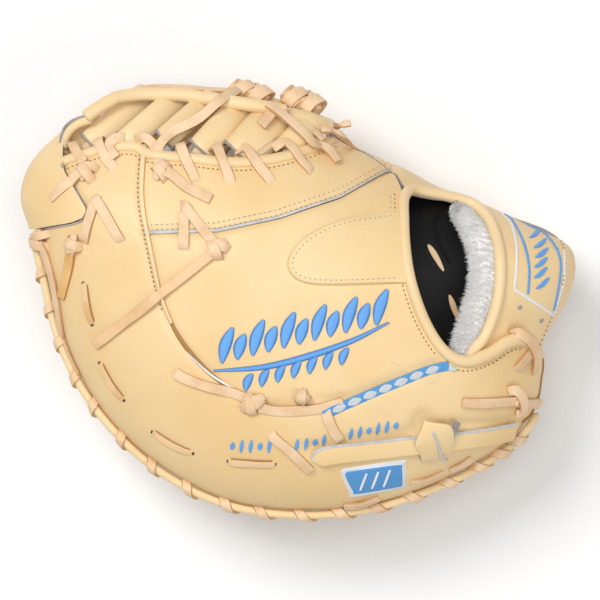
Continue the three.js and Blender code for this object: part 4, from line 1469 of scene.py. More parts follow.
BARS = (
    Bar("web_bar_1", (-21.1, 15.2), (-15.3, 20.8), 17.0),
    Bar("web_bar_2", (-17.6, 15.2), (-11.4, 20.8), 16.5),
    Bar("web_bar_3", (-13.7, 15.5), (-8.2, 20.6), 15.0),
    Bar("web_bar_4", (-10.1, 14.5), (-5.0, 20.2), 17.0),
    Bar("web_bar_5", (-6.0, 13.9), (-1.4, 19.3), 27.0, 8.0),
    Bar("web_end_flap", (-1.6, 14.8), (1.6, 18.4), 15.0),
)
POST_HALF = 4.2
CURL = 118.0
POST_LINE = (
    (-21.1, 18.2), (-20.0, 19.0), (-18.9, 19.7), (-17.8, 20.2), (-15.3, 20.5), (-12.0, 20.4), (-8.9, 19.95),
    (-6.0, 19.5), (-3.6, 19.1), (-1.5, 18.7),
)


def rolled(
    name: str, crest: np.ndarray, up: np.ndarray, half: Any, deep: Any, thick: float = 1.9, end: int = 0
) -> bpy.types.Object:
    """A sheet of leather rolled into an open tube, with raw cut edges.

    Args:
        name: The object's name.
        crest: The roll's highest line.
        up: Its outward directions.
        half: Half of its width.
        deep: Half of its depth.
        thick: The leather's thickness.
        end: The end that shows a raw lip, as 0 or -1.

    Returns:
        The object.
    """
    half, deep = (np.broadcast_to(value, len(crest)).astype(float) for value in (half, deep))
    side = unit(np.cross(unit(np.gradient(crest, axis=0)), up))
    turn = np.radians(np.linspace(-CURL, CURL, 27))
    points = (
        crest[:, None, :]
        + side[:, None, :] * (np.sin(turn)[None, :] * half[:, None])[..., None]
        + up[:, None, :] * ((np.cos(turn)[None, :] - 1) * deep[:, None])[..., None]
    )
    made = Make.grid(name, points)
    middle = (len(crest) // 2) * (len(turn) - 1) + len(turn) // 2
    if np.dot(made.data.polygons[middle].normal, up[len(crest) // 2]) < 0:
        made.data.flip_normals()
    Make.walled(made, thick, 0.4)
    arc = points[end] - up[end] * thick * 0.55
    outward = np.tile(up[end], (len(arc), 1))
    lip = swept("lip", Station.of(arc, outward, thick * 0.62, thick * 0.5), Section.FLATTENED, 10, 0.5)
    for slot in PLACEHOLDERS:
        lip.data.materials.append(bpy.data.materials[slot])
    lip.data.polygons.foreach_set("material_index", np.ones(len(lip.data.polygons), np.int32))
    made = Make.join(name, [made, lip])
    Make.rounded(made, 50)
    return made


@dataclass
class Web:
    """The rolled bars, the post over them and the thumb's rolled edge."""

    finishes: Finishes

    def bars(self) -> None:
        """The bars, each a hollow roll arched from edge to edge."""
        for bar in BARS:
            lean = math.pi * (0.5 - np.linspace(0.02, 0.94, 46))
            crest, up = bar.arch(lean, BAR_DEPTH / 2)
            made = rolled(bar.name + "_roll", crest, up, bar.width / 2, bar.deep)
            if bar is BARS[-1]:
                made = Make.join(bar.name + "_roll", [made, self.flap()])
            dress(made, "shell", self.finishes.roll, self.finishes.cut, nodes=[bar.name])
            if bar is not BARS[-1]:
                self.tongue(bar)

    def tongue(self, bar: Bar) -> None:
        """The lace that comes out of a bar's hollow end."""
        lean = np.radians(np.linspace(74, 97, 12))
        at, up = bar.arch(lean, BAR_DEPTH / 2 - bar.deep - 0.6)
        made = ribbon(bar.name.replace("bar", "tongue"), at, up, 6.6, 2.4, seed=len(bar.name))
        dress(made, "lace", self.finishes.lace)

    def flap(self) -> bpy.types.Object:
        """The last flap's own roll, along the ridge."""
        line = through(((-2.2, 18.9, 3.0), (0.4, 18.7, 4.0), (3.4, 17.9, 3.2)), 10)
        at, up = WEB_FACE.on(line[:, :2], line[:, 2])
        return rolled("flap", at, up, 6.6, 5.0, 2.8, -1)

    def post(self) -> np.ndarray:
        """The long rolled post, whose first point is given back."""
        line = through(POST_LINE, 10)
        at, up = WEB_FACE.on(line, POST_HALF + 1.0)
        at[:, 2] = smoothed(at[:, 2], 6)
        tilt = np.column_stack([np.zeros(len(up)), np.full(len(up), 0.4), np.ones(len(up))])
        made = swept(
            "web_post_roll", Station.of(at, unit(tilt), POST_HALF, POST_HALF - 0.3), Section.ROUND, 24, 0.35
        )
        self.finishes.rolled(made, "web_post")
        return at[0]

    def corner(self, post: np.ndarray) -> None:
        """What closes the corner by the tips: a tube up to the post, a gusset and the leaf edge behind."""
        low = BACK.on(np.array([(-23.4, 15.3)]), 0.6)[0][0]
        high = post - (-2.0, 2.0, 2.4)
        t = np.linspace(0, 1, 16)[:, None]
        bow = np.array([-3.4, 2.6, 1.0]) * np.sin(math.pi * t)
        tube = low + (high - low) * t + bow
        rise = upright(16)
        self.finishes.rolled(
            swept("web_inner_roll", Station.of(tube, rise, 2.7, 2.7), Section.ROUND, 18, 0.6)
        )
        inner = tube + np.array([6.5, -3.5, -8.0])
        made = swept("web_gusset", Station.of(inner, rise, 7.5, 1.2), Section.FLATTENED, 18, 0.4)
        Make.rounded(made, 60)
        dress(made, "shell", self.finishes.shell)
        edge = tube + np.array([-2.7, 2.4, -1.6])
        after = BACK.on(np.array([(-23.9, 15.2), (-23.8, 14.4), (-23.6, 13.6), (-23.35, 12.9)]), 0.4)[0]
        path = even(through(np.vstack([edge[::-1][::4], after]), 6), 1.5)
        made = swept(
            "web_leaf_edge", Station.of(path, upright(len(path)), 0.9, 2.2), Section.STRIP, 12, 0.5
        )
        Make.rounded(made, 50)
        dress(made, "shell", self.finishes.cut)

    def build(self) -> None:
        """Builds the web and the rolled edge of the thumb's side."""
        self.bars()
        self.corner(self.post())
        thumb_edge = roll("thumb_web_roll", WEB_EDGE[:-3], WEB_EDGE_ROLL, 0.0, THUMB)
        self.finishes.rolled(thumb_edge, "thumb_web_binding")


class WebSheet:
    """The face of the web's bars, from their arches, read at places."""

    def __init__(self) -> None:
        """Samples the arches between neighbouring bars."""
        lean = np.linspace(math.radians(90), math.radians(12), 60)
        arches = [bar.arch(lean, BAR_DEPTH / 2) for bar in BARS]
        rows_at, rows_up = [], []
        for (at_a, up_a), (at_b, up_b) in zip(arches[:-1], arches[1:]):
            for t in np.linspace(0, 1, 12, endpoint=False):
                rows_at.append(at_a * (1 - t) + at_b * t)
                rows_up.append(up_a * (1 - t) + up_b * t)
        rows_at.append(arches[-1][0])
        rows_up.append(arches[-1][1])
        self.at = np.vstack(rows_at)
        self.up = unit(np.vstack(rows_up))

    def read(self, flat: np.ndarray) -> tuple[np.ndarray, np.ndarray]:
        """The face's height and outward direction at flat points."""
        away = np.linalg.norm(flat[:, None, :] - self.at[None, :, :2], axis=2)
        weight = np.exp(-((away / 3.0) ** 2)) + 1e-9 / (away + 0.1) ** 2
        weight /= weight.sum(axis=1, keepdims=True)
        return weight @ self.at[:, 2], unit(weight @ self.up)

    def on(self, places: np.ndarray, lift: Any = 0.0) -> tuple[np.ndarray, np.ndarray]:
        """Points lifted off the face that stay over their places, with their outward directions."""
        flat = to_mm(places)
        rise = np.broadcast_to(lift, len(flat))[:, None].astype(float)
        foot = flat
        for _ in range(4):
            z, up = self.read(foot)
            foot = flat - up[:, :2] * rise
        return np.column_stack([flat, z]) + up * rise * (0, 0, 1), up


class Ground(Enum):
    """What a lace lies on."""

    BACK = "back"
    WEB = "web"


WEB_FACE = WebSheet()


def lie(ground: Ground, rows: Places, step: float = 1.4, steps: int = 12) -> tuple[np.ndarray, np.ndarray]:
    """A smooth run through rows of x, y and lift, on the back's leather or the web's face.

    Args:
        ground: What it lies on.
        rows: Places with a lift in millimetres.
        step: Millimetres between points.
        steps: Points for each span, before they are set even.

    Returns:
        Points and upward directions.
    """
    line = through(rows, steps)
    line = even(np.column_stack([to_mm(line[:, :2]), line[:, 2]]), step)
    places = to_places(line[:, :2])
    at, up = BACK.on(places, line[:, 2] + RELIEF.lift(places))
    if ground is Ground.BACK:
        return at, up
    edge = np.interp(places[:, 0], WEB_EDGE[:, 0], WEB_EDGE[:, 1])
    over = smooth(-1.2, 0.6, places[:, 1] - edge)[:, None]
    web_at, web_up = WEB_FACE.on(places, line[:, 2])
    return at * (1 - over) + web_at * over, unit(up * (1 - over) + web_up * over)


def ribbon(
    name: str, at: np.ndarray, up: np.ndarray, width: float = LACE_WIDTH, thick: float = LACE_THICK,
    seed: int = 0,
) -> bpy.types.Object:
    """A rawhide lace along points, with the small turns that a real one keeps.

    Args:
        name: The object's name.
        at: Its middle line.
        up: Its upward directions.
        width: Its width.
        thick: Its thickness.
        seed: Sets the turns.

    Returns:
        The object.
    """
    run = np.concatenate([[0], np.cumsum(np.linalg.norm(np.diff(at, axis=0), axis=1))])
    roll_by = 0.10 * np.sin(run / 9.0 + seed * 1.7) + 0.05 * np.sin(run / 3.7 + seed)
    along = unit(np.gradient(at, axis=0))
    side = unit(np.cross(along, up))
    turned = up * np.cos(roll_by)[:, None] + side * np.sin(roll_by)[:, None]
    half = width / 2 * (1 + 0.04 * np.sin(run / 5.1 + seed * 2.3))
    made = swept(name, Station.of(at, turned, half, thick / 2), Section.STRIP, 20, 0.35)
    Make.rounded(made, 50)
    return made


class Hide(Enum):
    """How a lace has aged, by the name of its finish."""

    FRESH = "lace"
    AGED = "aged"
    OILED = "oiled"
    SUNK = "sunk"


@dataclass(frozen=True)
class Lace:
    """A lace that lies on the mitt: rows of place and lift, and the CAD nodes that it stands for.

    The holes are the rows at which it goes into a slot.
    """

    name: str
    rows: Places
    nodes: tuple[str, ...] = ()
    ground: Ground = Ground.BACK
    width: float = LACE_WIDTH
    holes: tuple[int, ...] = ()
    hide: Hide = Hide.FRESH


ON = 1.35
DIVE = -2.2
SUNK = 0.1

# A row for each crescent stitch, and its lifts
CRESCENTS = (
    ((-21.4, 1.9), (-21.2, 1.2), (-20.9, -0.6), (-20.6, -1.9), (-20.4, -2.7)),
    ((-19.9, -6.0), (-19.5, -6.7), (-18.7, -8.1), (-17.8, -9.4), (-17.2, -10.1)),
    ((-14.8, -12.9), (-14.1, -13.3), (-12.6, -14.2), (-11.2, -14.9), (-10.3, -15.2)),
    ((-7.3, -15.8), (-6.6, -15.9), (-4.8, -16.0), (-2.9, -16.1), (-2.2, -16.1)),
)
CRESCENT_LIFTS = (DIVE, SUNK, SUNK + 0.5, SUNK, DIVE)

# A row for each loop over the web's edge, and its lifts
WEB_LOOPS = (
    ((-19.8, 15.9), (-19.7, 15.3), (-19.3, 14.3), (-18.8, 13.5), (-18.4, 13.1), (-18.2, 12.8)),
    ((-11.8, 15.3), (-11.6, 14.6), (-11.2, 13.6), (-10.7, 12.7), (-10.3, 11.9), (-10.1, 11.5)),
    ((-8.7, 14.9), (-8.2, 14.6), (-7.7, 13.6), (-7.2, 12.6), (-6.9, 11.8), (-6.8, 11.4)),
    ((-6.3, 14.6), (-5.4, 14.5), (-4.6, 13.6), (-3.7, 12.6), (-3.0, 11.8), (-2.7, 11.4)),
    ((-2.6, 14.9), (-1.6, 15.1), (-0.7, 14.4), (0.2, 13.5), (0.9, 12.8), (1.3, 12.5)),
)
FIRST_LOOP_LIFTS = (1.0, 4.6, 4.0, ON, 0.3, DIVE)
LOOP_LIFTS = (0.5, 4.6, 3.6, ON, 0.6, DIVE)


def lifted(places: Places, lifts: Sequence[float]) -> Places:
    """Places with their lifts, as rows."""
    return tuple((x, y, lift) for (x, y), lift in zip(places, lifts))


LACES = (
    *(
        Lace(
            f"crescent_{k}", lifted(places, CRESCENT_LIFTS), (f"crescent_stitch_{k}",),
            width=4.6, holes=(0, -1), hide=Hide.SUNK,
        )
        for k, places in enumerate(CRESCENTS, 1)
    ),
    *(
        Lace(
            f"web_loop_{k}",
            lifted(places, FIRST_LOOP_LIFTS if k == 1 else LOOP_LIFTS),
            (f"web_stitch_{k}",),
            holes=(-1,),
        )
        for k, places in enumerate(WEB_LOOPS, 1)
    ),
    Lace(
        "vee_1",
        (
            (-21.3, 5.5, DIVE), (-21.1, 6.1, ON), (-20.7, 7.6, ON), (-20.2, 9.2, ON), (-20.0, 9.8, 0.9),
            (-19.9, 10.3, DIVE),
        ),
        ("lace_v_1",), holes=(-1,),
    ),
    Lace(
        "vee_1_over",
        (
            (-20.3, 10.0, DIVE), (-20.0, 9.9, 2.4), (-19.5, 9.2, 2.6), (-18.5, 7.5, ON), (-17.7, 6.2, ON),
            (-17.3, 5.6, DIVE),
        ),
        holes=(-1,),
    ),
    Lace(
        "vee_2",
        ((-11.3, 4.8, DIVE), (-11.3, 5.4, ON), (-11.3, 7.0, ON), (-11.2, 8.4, ON), (-11.1, 9.0, DIVE)),
        ("lace_v_2",), holes=(-1,),
    ),
    Lace(
        "vee_2_over",
        ((-11.6, 9.2, DIVE), (-11.2, 9.1, 2.4), (-10.6, 8.3, 2.6), (-9.4, 6.8, ON), (-8.3, 5.5, ON)),
        holes=(0,),
    ),
    Lace(
        "tip_tail", ((-20.9, 12.7, 3.0), (-21.9, 12.0, 3.2), (-23.2, 11.0, 2.6), (-24.4, 9.9, 2.2)),
        ("tail_tip",),
    ),
    Lace(
        "web_tail", ((-13.0, 12.4, 3.0), (-12.2, 11.9, 2.0), (-11.0, 10.9, ON), (-8.7, 9.8, ON)),
        ("tail_web",),
    ),
    Lace(
        "long_tail",
        (
            (-8.3, 4.7, 2.6), (-9.4, 3.8, ON), (-12.0, 1.8, ON + 0.6), (-13.7, 0.45, ON + 1.8),
            (-16.0, -1.4, ON + 0.3), (-20.1, -4.4, ON),
        ),
        ("tail_long",), hide=Hide.AGED,
    ),
    Lace(
        "side_tail", ((-22.4, 4.9, 2.6), (-22.7, 3.4, ON), (-23.1, 1.8, ON), (-23.5, 0.3, ON)),
        ("tail_side",), hide=Hide.OILED,
    ),
    Lace(
        "loop_tail_left",
        ((-12.1, -7.1, ON), (-11.0, -7.7, ON), (-9.0, -8.4, ON), (-6.4, -9.1, ON), (-4.6, -9.8, 2.8)),
        ("tail_loop",),
    ),
    Lace(
        "loop_run",
        ((-4.0, -10.4, 3.0), (-2.4, -10.8, ON), (0.0, -10.8, ON), (2.0, -10.6, ON), (4.2, -10.1, ON)),
        ("loop_lace",),
    ),
    Lace(
        "loop_low", ((2.5, -10.8, 0.6), (2.8, -11.7, ON), (3.2, -12.6, ON), (3.9, -13.7, ON)),
        ("loop_lace_low",),
    ),
    Lace(
        "loop_end", ((-2.9, -12.9, DIVE), (-2.5, -13.4, ON), (-0.9, -14.8, ON), (1.0, -16.7, ON)),
        ("loop_tail",), holes=(0,),
    ),
    Lace(
        "heel_tail", ((15.9, -10.0, ON), (18.0, -10.1, ON), (20.2, -10.0, ON), (21.2, -9.9, 2.2)),
        ("heel_tail_left",),
    ),
    Lace(
        "heel_loop",
        (
            (20.5, -8.95, 1.2), (20.95, -8.8, 3.6), (21.45, -9.35, 4.6), (21.8, -10.3, 4.6),
            (21.75, -11.0, 3.0), (21.4, -11.2, 1.2),
        ),
        ("knot_heel",),
    ),
    Lace("heel_tail_right", ((21.2, -9.9, 3.0), (22.2, -10.2, ON), (24.6, -10.4, ON))),
    Lace(
        "heel_under",
        ((23.5, -4.2, DIVE), (23.2, -4.8, 1.2), (22.3, -5.8, ON), (21.6, -6.6, ON), (21.3, -7.1, DIVE)),
        ("heel_cross_under",), holes=(-1,),
    ),
    Lace(
        "heel_over",
        (
            (21.1, -3.3, DIVE), (21.3, -3.1, 2.6), (22.2, -3.8, 4.6), (23.1, -5.4, 4.0), (23.3, -6.8, 2.0),
            (23.3, -7.6, DIVE),
        ),
        ("heel_cross_over",), holes=(-1,),
    ),
    Lace(
        "web_long",
        (
            (-5.9, 21.2, 7.0), (-8.0, 19.65, 10.4), (-10.0, 17.9, 4.6), (-12.5, 16.6, 1.8),
            (-13.7, 15.4, 4.4), (-13.95, 14.6, 4.8), (-13.7, 13.1, 2.0),
        ),
        ground=Ground.WEB,
    ),
    Lace(
        "web_flat",
        (
            (-3.1, 19.3, 10.4), (-1.6, 18.2, 9.6), (0.4, 16.4, 6.4), (1.7, 15.0, 5.6), (2.5, 14.3, 5.0),
            (3.5, 13.4, 3.0),
        ),
        ground=Ground.WEB,
    ),
    Lace("web_short", ((-2.7, 18.7, 7.0), (-3.2, 18.0, 5.0), (-3.8, 17.2, 4.2)), ground=Ground.WEB),
    Lace(
        "web_over_first",
        ((-22.6, 15.6, -1.0), (-22.3, 15.0, 4.4), (-21.8, 14.2, 4.4), (-21.3, 13.5, 1.6)),
        ground=Ground.WEB,
    ),
    Lace(
        "web_curl",
        (
            (-17.4, 16.0, 1.5), (-18.1, 16.0, 4.6), (-18.7, 15.5, 4.8), (-18.6, 14.6, 4.4),
            (-18.1, 13.9, 2.0),
        ),
        ground=Ground.WEB,
    ),
    Lace(
        "web_arc", ((-16.1, 15.8, 1.0), (-15.4, 16.0, 4.6), (-14.7, 15.6, 4.6), (-14.1, 14.8, 3.4)),
        ground=Ground.WEB,
    ),
    Lace(
        "web_back_1",
        ((-15.9, 21.2, -2.4), (-14.0, 21.4, 0.0), (-11.8, 21.3, 0.5), (-9.0, 21.1, 0.5), (-6.6, 21.0, 2.0)),
        ground=Ground.WEB, width=5.0,
    ),
    Lace(
        "web_end_lace", ((2.4, 17.6, -1.0), (3.6, 17.4, -1.6), (5.0, 17.6, -2.4)), ground=Ground.WEB,
        width=4.4,
    ),
    Lace("web_end_stub", ((0.8, 17.4, -3.0), (1.6, 16.6, -2.0), (2.3, 15.9, 0.6)), ground=Ground.WEB),
    Lace(
        "web_end_loop", ((2.2, 16.9, 2.6), (3.4, 16.8, 4.0), (4.4, 16.2, 2.6), (5.2, 15.4, 0.0)),
        ground=Ground.WEB, width=4.4,
    ),
    Lace("rim_strip_1", ((4.4, -20.5, 0.6), (6.0, -20.2, ON), (7.8, -19.6, 0.6))),
    Lace("rim_strip_2", ((11.0, -18.1, 0.6), (12.6, -17.8, ON), (14.2, -17.2, 0.6))),
    Lace("rim_strip_3", ((14.9, -16.9, 0.6), (16.0, -16.4, ON), (17.0, -15.8, 0.6))),
    Lace(
        "side_tail_low",
        (
            (-25.5, 5.8, 3.0), (-25.0, 4.0, ON), (-24.3, 1.4, ON), (-23.8, -1.8, ON), (-23.5, -5.4, ON),
            (-23.3, -7.8, ON),
        ),
    ),
)


@dataclass(frozen=True)
class Knot:
    """A knot of wrapped lace: its place, its size in knot widths, its turn in degrees and its CAD node."""

    name: str
    x: float
    y: float
    long: float
    wide: float
    turn: float
    nodes: tuple[str, ...] = ()
    lift: float = 0.0
    ground: Ground = Ground.BACK


KNOT_WIDTH = 11.0
KNOTS = (
    Knot("tip_knot", -21.0, 12.6, 1.0, 1.0, 60, ("knot_tip",)),
    Knot("web_knot", -13.6, 12.6, 1.0, 0.9, 60, ("knot_web",)),
    Knot("side_knot", -22.2, 5.4, 1.1, 0.8, -100, ("knot_side",)),
    Knot("long_knot", -8.1, 5.0, 1.2, 1.0, 40, ("knot_long",)),
    Knot("loop_knot", -4.6, -10.0, 1.3, 1.1, 30, ("knot_loop",)),
    Knot("rim_knot", -25.9, 6.0, 1.1, 1.0, 75),
    Knot("loop_bump", 0.2, -9.4, 0.7, 0.7, 10),
)


@dataclass
class Rawhide:
    """Every lace and knot that lies on the mitt."""

    finishes: Finishes

    def lace(self, row: Lace, seed: int) -> None:
        """One lace, with the dark slots that it goes into, and beside a sunk lace a thin strip of painted
        shadow.
        """
        at, up = lie(row.ground, row.rows)
        made = ribbon(row.name, at, up, row.width, seed=seed)
        dress(made, "lace", getattr(self.finishes, row.hide.value), nodes=row.nodes)
        # Painted shadow: a sunk lace gets a thin dark brown strip along one side, where its contact shadow
        # falls.
        if row.hide is Hide.SUNK:
            side = unit(np.cross(unit(np.gradient(at, axis=0)), up))
            side = side * np.sign(side[len(side) // 2, 0])
            line = (at + side * (row.width / 2 + 0.1) + up * 0.25)[3:-3]
            edge = swept(f"{row.name}_edge", Station.of(line, up[3:-3], 0.5, 0.6), Section.ROUND, 10, 0.9)
            dress(edge, "lace", self.finishes.shade)
        for k, end in enumerate(row.holes):
            inner = 1 if end == 0 else -2
            here, before = np.array(row.rows[end][:2]), np.array(row.rows[inner][:2])
            self.slot_at(f"{row.name}_slot_{k + 1}", here, before)

    def slot_at(self, name: str, here: np.ndarray, from_place: np.ndarray) -> None:
        """A punched slot's dark mouth, just past the lace's dive."""
        way = unit(to_mm(here) - to_mm(from_place))
        middle = to_mm(here) - way * SLOT_SETBACK
        side = np.array([-way[1], way[0]]) * 0.7
        places = to_places(np.array([middle - side, middle, middle + side]))
        at, up = BACK.on(places, RELIEF.lift(places) - 0.25)
        made = swept(name, Station.of(at, up, 0.9, 0.5), Section.ROUND, 12, 1.0)
        Make.rounded(made, 60)
        dress(made, "lace", self.finishes.dark)

    def knot(self, row: Knot, seed: int) -> None:
        """One knot: a rolled core with two bands wrapped over it."""
        source = BACK if row.ground is Ground.BACK else WEB_FACE
        middle = to_mm(np.array([row.x, row.y]))
        angle = math.radians(row.turn)
        way = np.array([math.cos(angle), math.sin(angle)])
        side = np.array([-way[1], way[0]])
        reach, wide = KNOT_WIDTH * row.long / 2, KNOT_WIDTH * row.wide / 2

        def over(along: float, turn: float, height: float, span: float) -> tuple[np.ndarray, np.ndarray]:
            """An arch over the core, from leather to leather."""
            t = np.linspace(-1, 1, 15)
            c, s = math.cos(turn), math.sin(turn)
            across = side * c + way * s
            flat = middle + way * along + across * (t * span)[:, None]
            lift = row.lift + height * (1 - np.abs(t) ** 2.6) - 0.6
            places = to_places(flat)
            return source.on(places, lift + (RELIEF.lift(places) if source is BACK else 0.0))

        core_t = np.linspace(-1, 1, 13)
        flat = middle + way * (core_t * reach)[:, None]
        full = np.sqrt(np.maximum(1 - 0.75 * core_t**2, 0.05))
        at, up = source.on(to_places(flat), row.lift + 2.2 * full)
        core = swept("core", Station.of(at, up, wide * 0.78 * full, 2.6 * full), Section.FLATTENED, 18, 0.8)
        first = ribbon("first", *over(-reach * 0.18, 0.34, 6.2, wide + 0.6), 6.0, 1.9, seed)
        second = ribbon("second", *over(reach * 0.36, -0.5, 5.0, wide + 0.2), 5.2, 1.8, seed + 3)
        whole = Make.join(row.name, [core, first, second])
        Make.rounded(whole, 50)
        dress(whole, "lace", self.finishes.lace, nodes=row.nodes)

    def ridge_knot(
        self, name: str, first: Sequence[float], last: Sequence[float], size: float, seed: int
    ) -> None:
        """A big knot on the web's ridge: a bundled core with laces wound round it.

        Args:
            name: The object's name.
            first: One end of the core: a place and a lift.
            last: The other end.
            size: Half of the core's thickness.
            seed: Sets the small turns.
        """
        line = through((first, last), 16)
        at, up = WEB_FACE.on(line[:, :2], line[:, 2])
        t = np.linspace(-1, 1, len(at))
        full = size * np.sqrt(np.maximum(1 - 0.55 * t**2, 0.1))
        parts = [swept("core", Station.of(at, up, full, full * 0.85), Section.ROUND, 22, 0.7)]
        axis = unit(at[-1] - at[0])
        for place, slant, grow in (
            (-0.6, 0.5, 0.8), (-0.15, -0.45, 1.5), (0.3, 0.35, 1.0), (0.65, -0.4, 1.5)
        ):
            k = int((place + 1) / 2 * (len(at) - 1))
            side = unit(np.cross(axis, up[k]))
            turn = np.linspace(-0.35, math.pi + 0.35, 22)[:, None]
            out = unit(side * np.cos(turn) + up[k] * np.sin(turn))
            path = at[k] + out * (full[k] + grow * 0.7) + axis * slant * full[k] * np.cos(turn)
            parts.append(ribbon("wrap", path, out, 7.4, 2.0, seed + k))
        whole = Make.join(name, parts)
        Make.rounded(whole, 50)
        dress(whole, "lace", self.finishes.lace)

    def build(self) -> None:
        """Builds them all."""
        self.ridge_knot("ridge_knot_1", (-6.8, 21.2, 2.6), (-3.4, 20.2, 2.6), 5.8, 3)
        self.ridge_knot("ridge_knot_2", (-1.5, 20.4, 2.6), (1.7, 19.2, 2.6), 6.8, 8)
        for seed, row in enumerate(LACES):
            self.lace(row, seed)
        for seed, row in enumerate(KNOTS):
            self.knot(row, seed)


def beside(places: np.ndarray, offset: float) -> np.ndarray:
    """A line set over to the left of its run by an offset in millimetres, as places."""
    flat = even(to_mm(places), 1.0)
    along = unit(np.gradient(flat, axis=0))
    return to_places(flat + np.stack([-along[:, 1], along[:, 0]], axis=1) * offset)


@dataclass
class Sewing:
    """Rows of stitches, each a small capsule of thread."""

    finishes: Finishes
    pitch: float = 3.1
    long: float = 2.2
    thick: float = 0.62

    def capsule(self) -> tuple[np.ndarray, np.ndarray]:
        """One stitch's points and faces, along +X."""
        Make.clear()
        bpy.ops.mesh.primitive_uv_sphere_add(segments=8, ring_count=5, radius=1)
        return Make.shape_of(bpy.context.object)

    def row(
        self, name: str, at: np.ndarray, up: np.ndarray, material: bpy.types.Material,
        long: float | None = None, thick: float | None = None, holes: bool = True,
    ) -> bpy.types.Object:
        """A joined row of stitches, with a needle hole between each two.

        Args:
            name: The object's name.
            at: The stitches' middles.
            up: Their upward directions.
            material: The thread.
            long: A stitch's length.
            thick: A stitch's thickness.
            holes: Whether the needle holes show.

        Returns:
            The object.
        """
        shape, faces = self.capsule()
        along = unit(np.gradient(at, axis=0))
        side = unit(np.cross(up, along))
        half, deep = (long or self.long) / 2, (thick or self.thick) / 2
        points = (
            at[:, None, :]
            + along[:, None, :] * (shape[None, :, 0] * half)[..., None]
            + side[:, None, :] * (shape[None, :, 1] * deep)[..., None]
            + up[:, None, :] * (shape[None, :, 2] * deep)[..., None]
        )
        if holes:
            middle = (at[:-1] + at[1:]) / 2 - up[:-1] * deep * 0.3
            pit = shape * (0.42, 0.42, 0.30)
            pits = middle[:, None] + pit[None] @ np.stack([along, side, up], 1)[:-1]
            points = np.vstack([points, pits])
        made = Make.copies(name, points, faces)
        index = (np.arange(len(made.data.polygons)) >= len(at) * len(faces)).astype(np.int32)
        made.data.polygons.foreach_set("material_index", index)
        made.data.shade_smooth()
        return dress(made, "lace", material, self.finishes.shade)

    def along(
        self, name: str, places: np.ndarray, material: bpy.types.Material, pitch: float | None = None,
        lift: float = 0.15, sheet_lift: float = 0.0, **sizes: Any,
    ) -> bpy.types.Object:
        """Stitches along places on the back's leather."""
        line = even(to_mm(places), pitch or self.pitch)
        spots = to_places(line)
        at, up = BACK.on(spots, RELIEF.lift(spots) + lift + sheet_lift)
        return self.row(name, at, up, material, **sizes)

    def build(self) -> None:
        """Sews every row."""
        light, dark = self.finishes.thread, self.finishes.dark_thread
        self.along("index_row_low", beside(INDEX_LOW, 1.9), light)
        self.along("index_row_high", beside(INDEX_LOW, 4.9), light)
        low_tip = through(((-21.5, 8.2), (-22.5, 7.7), (-24.0, 7.4), (-26.1, 7.15)), 10)
        self.along("tip_row_low", beside(low_tip, -1.2), light)
        self.along("tip_row_high", beside(low_tip, -5.2), light)
        self.along("pad_row", beside(through(PAD_OUTLINE, 10), 3.0), light, sheet_lift=PAD_RISE)
        left = OPENING_SIDE[OPENING_SIDE[:, 1] <= 10.6]
        dots = {"pitch": 2.8, "long": 1.5, "thick": 0.85, "holes": False}
        heel_side = OPENING_SIDE[(OPENING_SIDE[:, 0] > 14.6) & (OPENING_SIDE[:, 0] < 21.8)]
        self.along("opening_row", beside(left[left[:, 0] < 13.9], -OPENING_LOOP / 2 - 1.7), dark, **dots)
        self.along("heel_row", beside(heel_side, -OPENING_LOOP / 2 - 2.3), dark, **dots)
        rim = through(
            ((26.4, 6.4), (26.75, 4.8), (26.65, 2.7), (26.1, -0.2), (25.1, -2.9), (24.5, -4.6)), 8
        )
        self.along("strap_row", rim, dark, sheet_lift=-STRAP_DROP, **dots)
        self.along("opening_row_left", beside(left[left[:, 1] >= 4.0], -OPENING_LOOP / 2 - 4.2), light)
        self.along("web_row", beside(WEB_EDGE, -WEB_EDGE_ROLL / 2 - 1.4), dark, **dots)
        seam = BACK_SEAM[BACK_SEAM[:, 1] > -1.0]
        self.along("seam_row_left", beside(seam, -1.5), dark, lift=0.7, **dots)
        self.along("crotch_row", beside(CROTCH_SIDE, -2.0), light)
        self.bar_rows(BARS[4], light)

    def bar_rows(self, bar: Bar, thread: bpy.types.Material) -> None:
        """Two rows along the widest bar's lower side."""
        share = np.linspace(0, 1, 13)
        crest, up = bar.arch(np.radians(77 - 29 * share), BAR_DEPTH / 2)
        side = unit(np.cross(unit(np.gradient(crest, axis=0)), up))
        for k in range(2):
            offset = np.clip(5.6 + 4.2 * share + 3.2 * k, 0, bar.width * 0.485)
            turn = np.arcsin(offset / (bar.width / 2))
            drop = (np.cos(turn) - 1) * bar.deep + 0.15
            at = crest + side * offset[:, None] + up * drop[:, None]
            out = unit(
                side * (np.sin(turn) / bar.width * 2)[:, None] + up * (np.cos(turn) / bar.deep)[:, None]
            )
            self.row(f"bar_row_{k + 1}", at, out, thread)


def disc(
    name: str, outline: Places, centre: tuple[float, float], rise: float, lift: float = 0.0,
    edge: float = 1.4, thick: float = 1.0,
) -> bpy.types.Object:
    """A flat piece of leather or cloth sewn on the back, with eased edges.

    Args:
        name: The object's name.
        outline: Its closed outline, as places.
        centre: A place inside that sees the whole outline.
        rise: How far it stands up.
        lift: The lift of its edge over the leather.
        edge: The width over which it rises.
        thick: Its thickness.

    Returns:
        The object.
    """
    ring = even(to_mm(np.vstack([outline, outline[:1]])), 1.4)
    middle = to_mm(np.array(centre))
    r = 1 - (1 - np.linspace(0, 1, 18)) ** 1.8
    flat = middle + (ring - middle) * r[:, None, None]
    away = np.linalg.norm(ring - middle, axis=1)[None, :] * (1 - r)[:, None]
    places = to_places(flat.reshape(-1, 2))
    height = lift + rise * np.sqrt(smooth(0.0, edge, away.reshape(-1)))
    at, _ = BACK.on(places, RELIEF.lift(places) + height)
    made = Make.grid(name, at.reshape(*flat.shape[:2], 3))
    Make.weld(made)
    return Make.leather(made, thick, 0.3, angle=50)


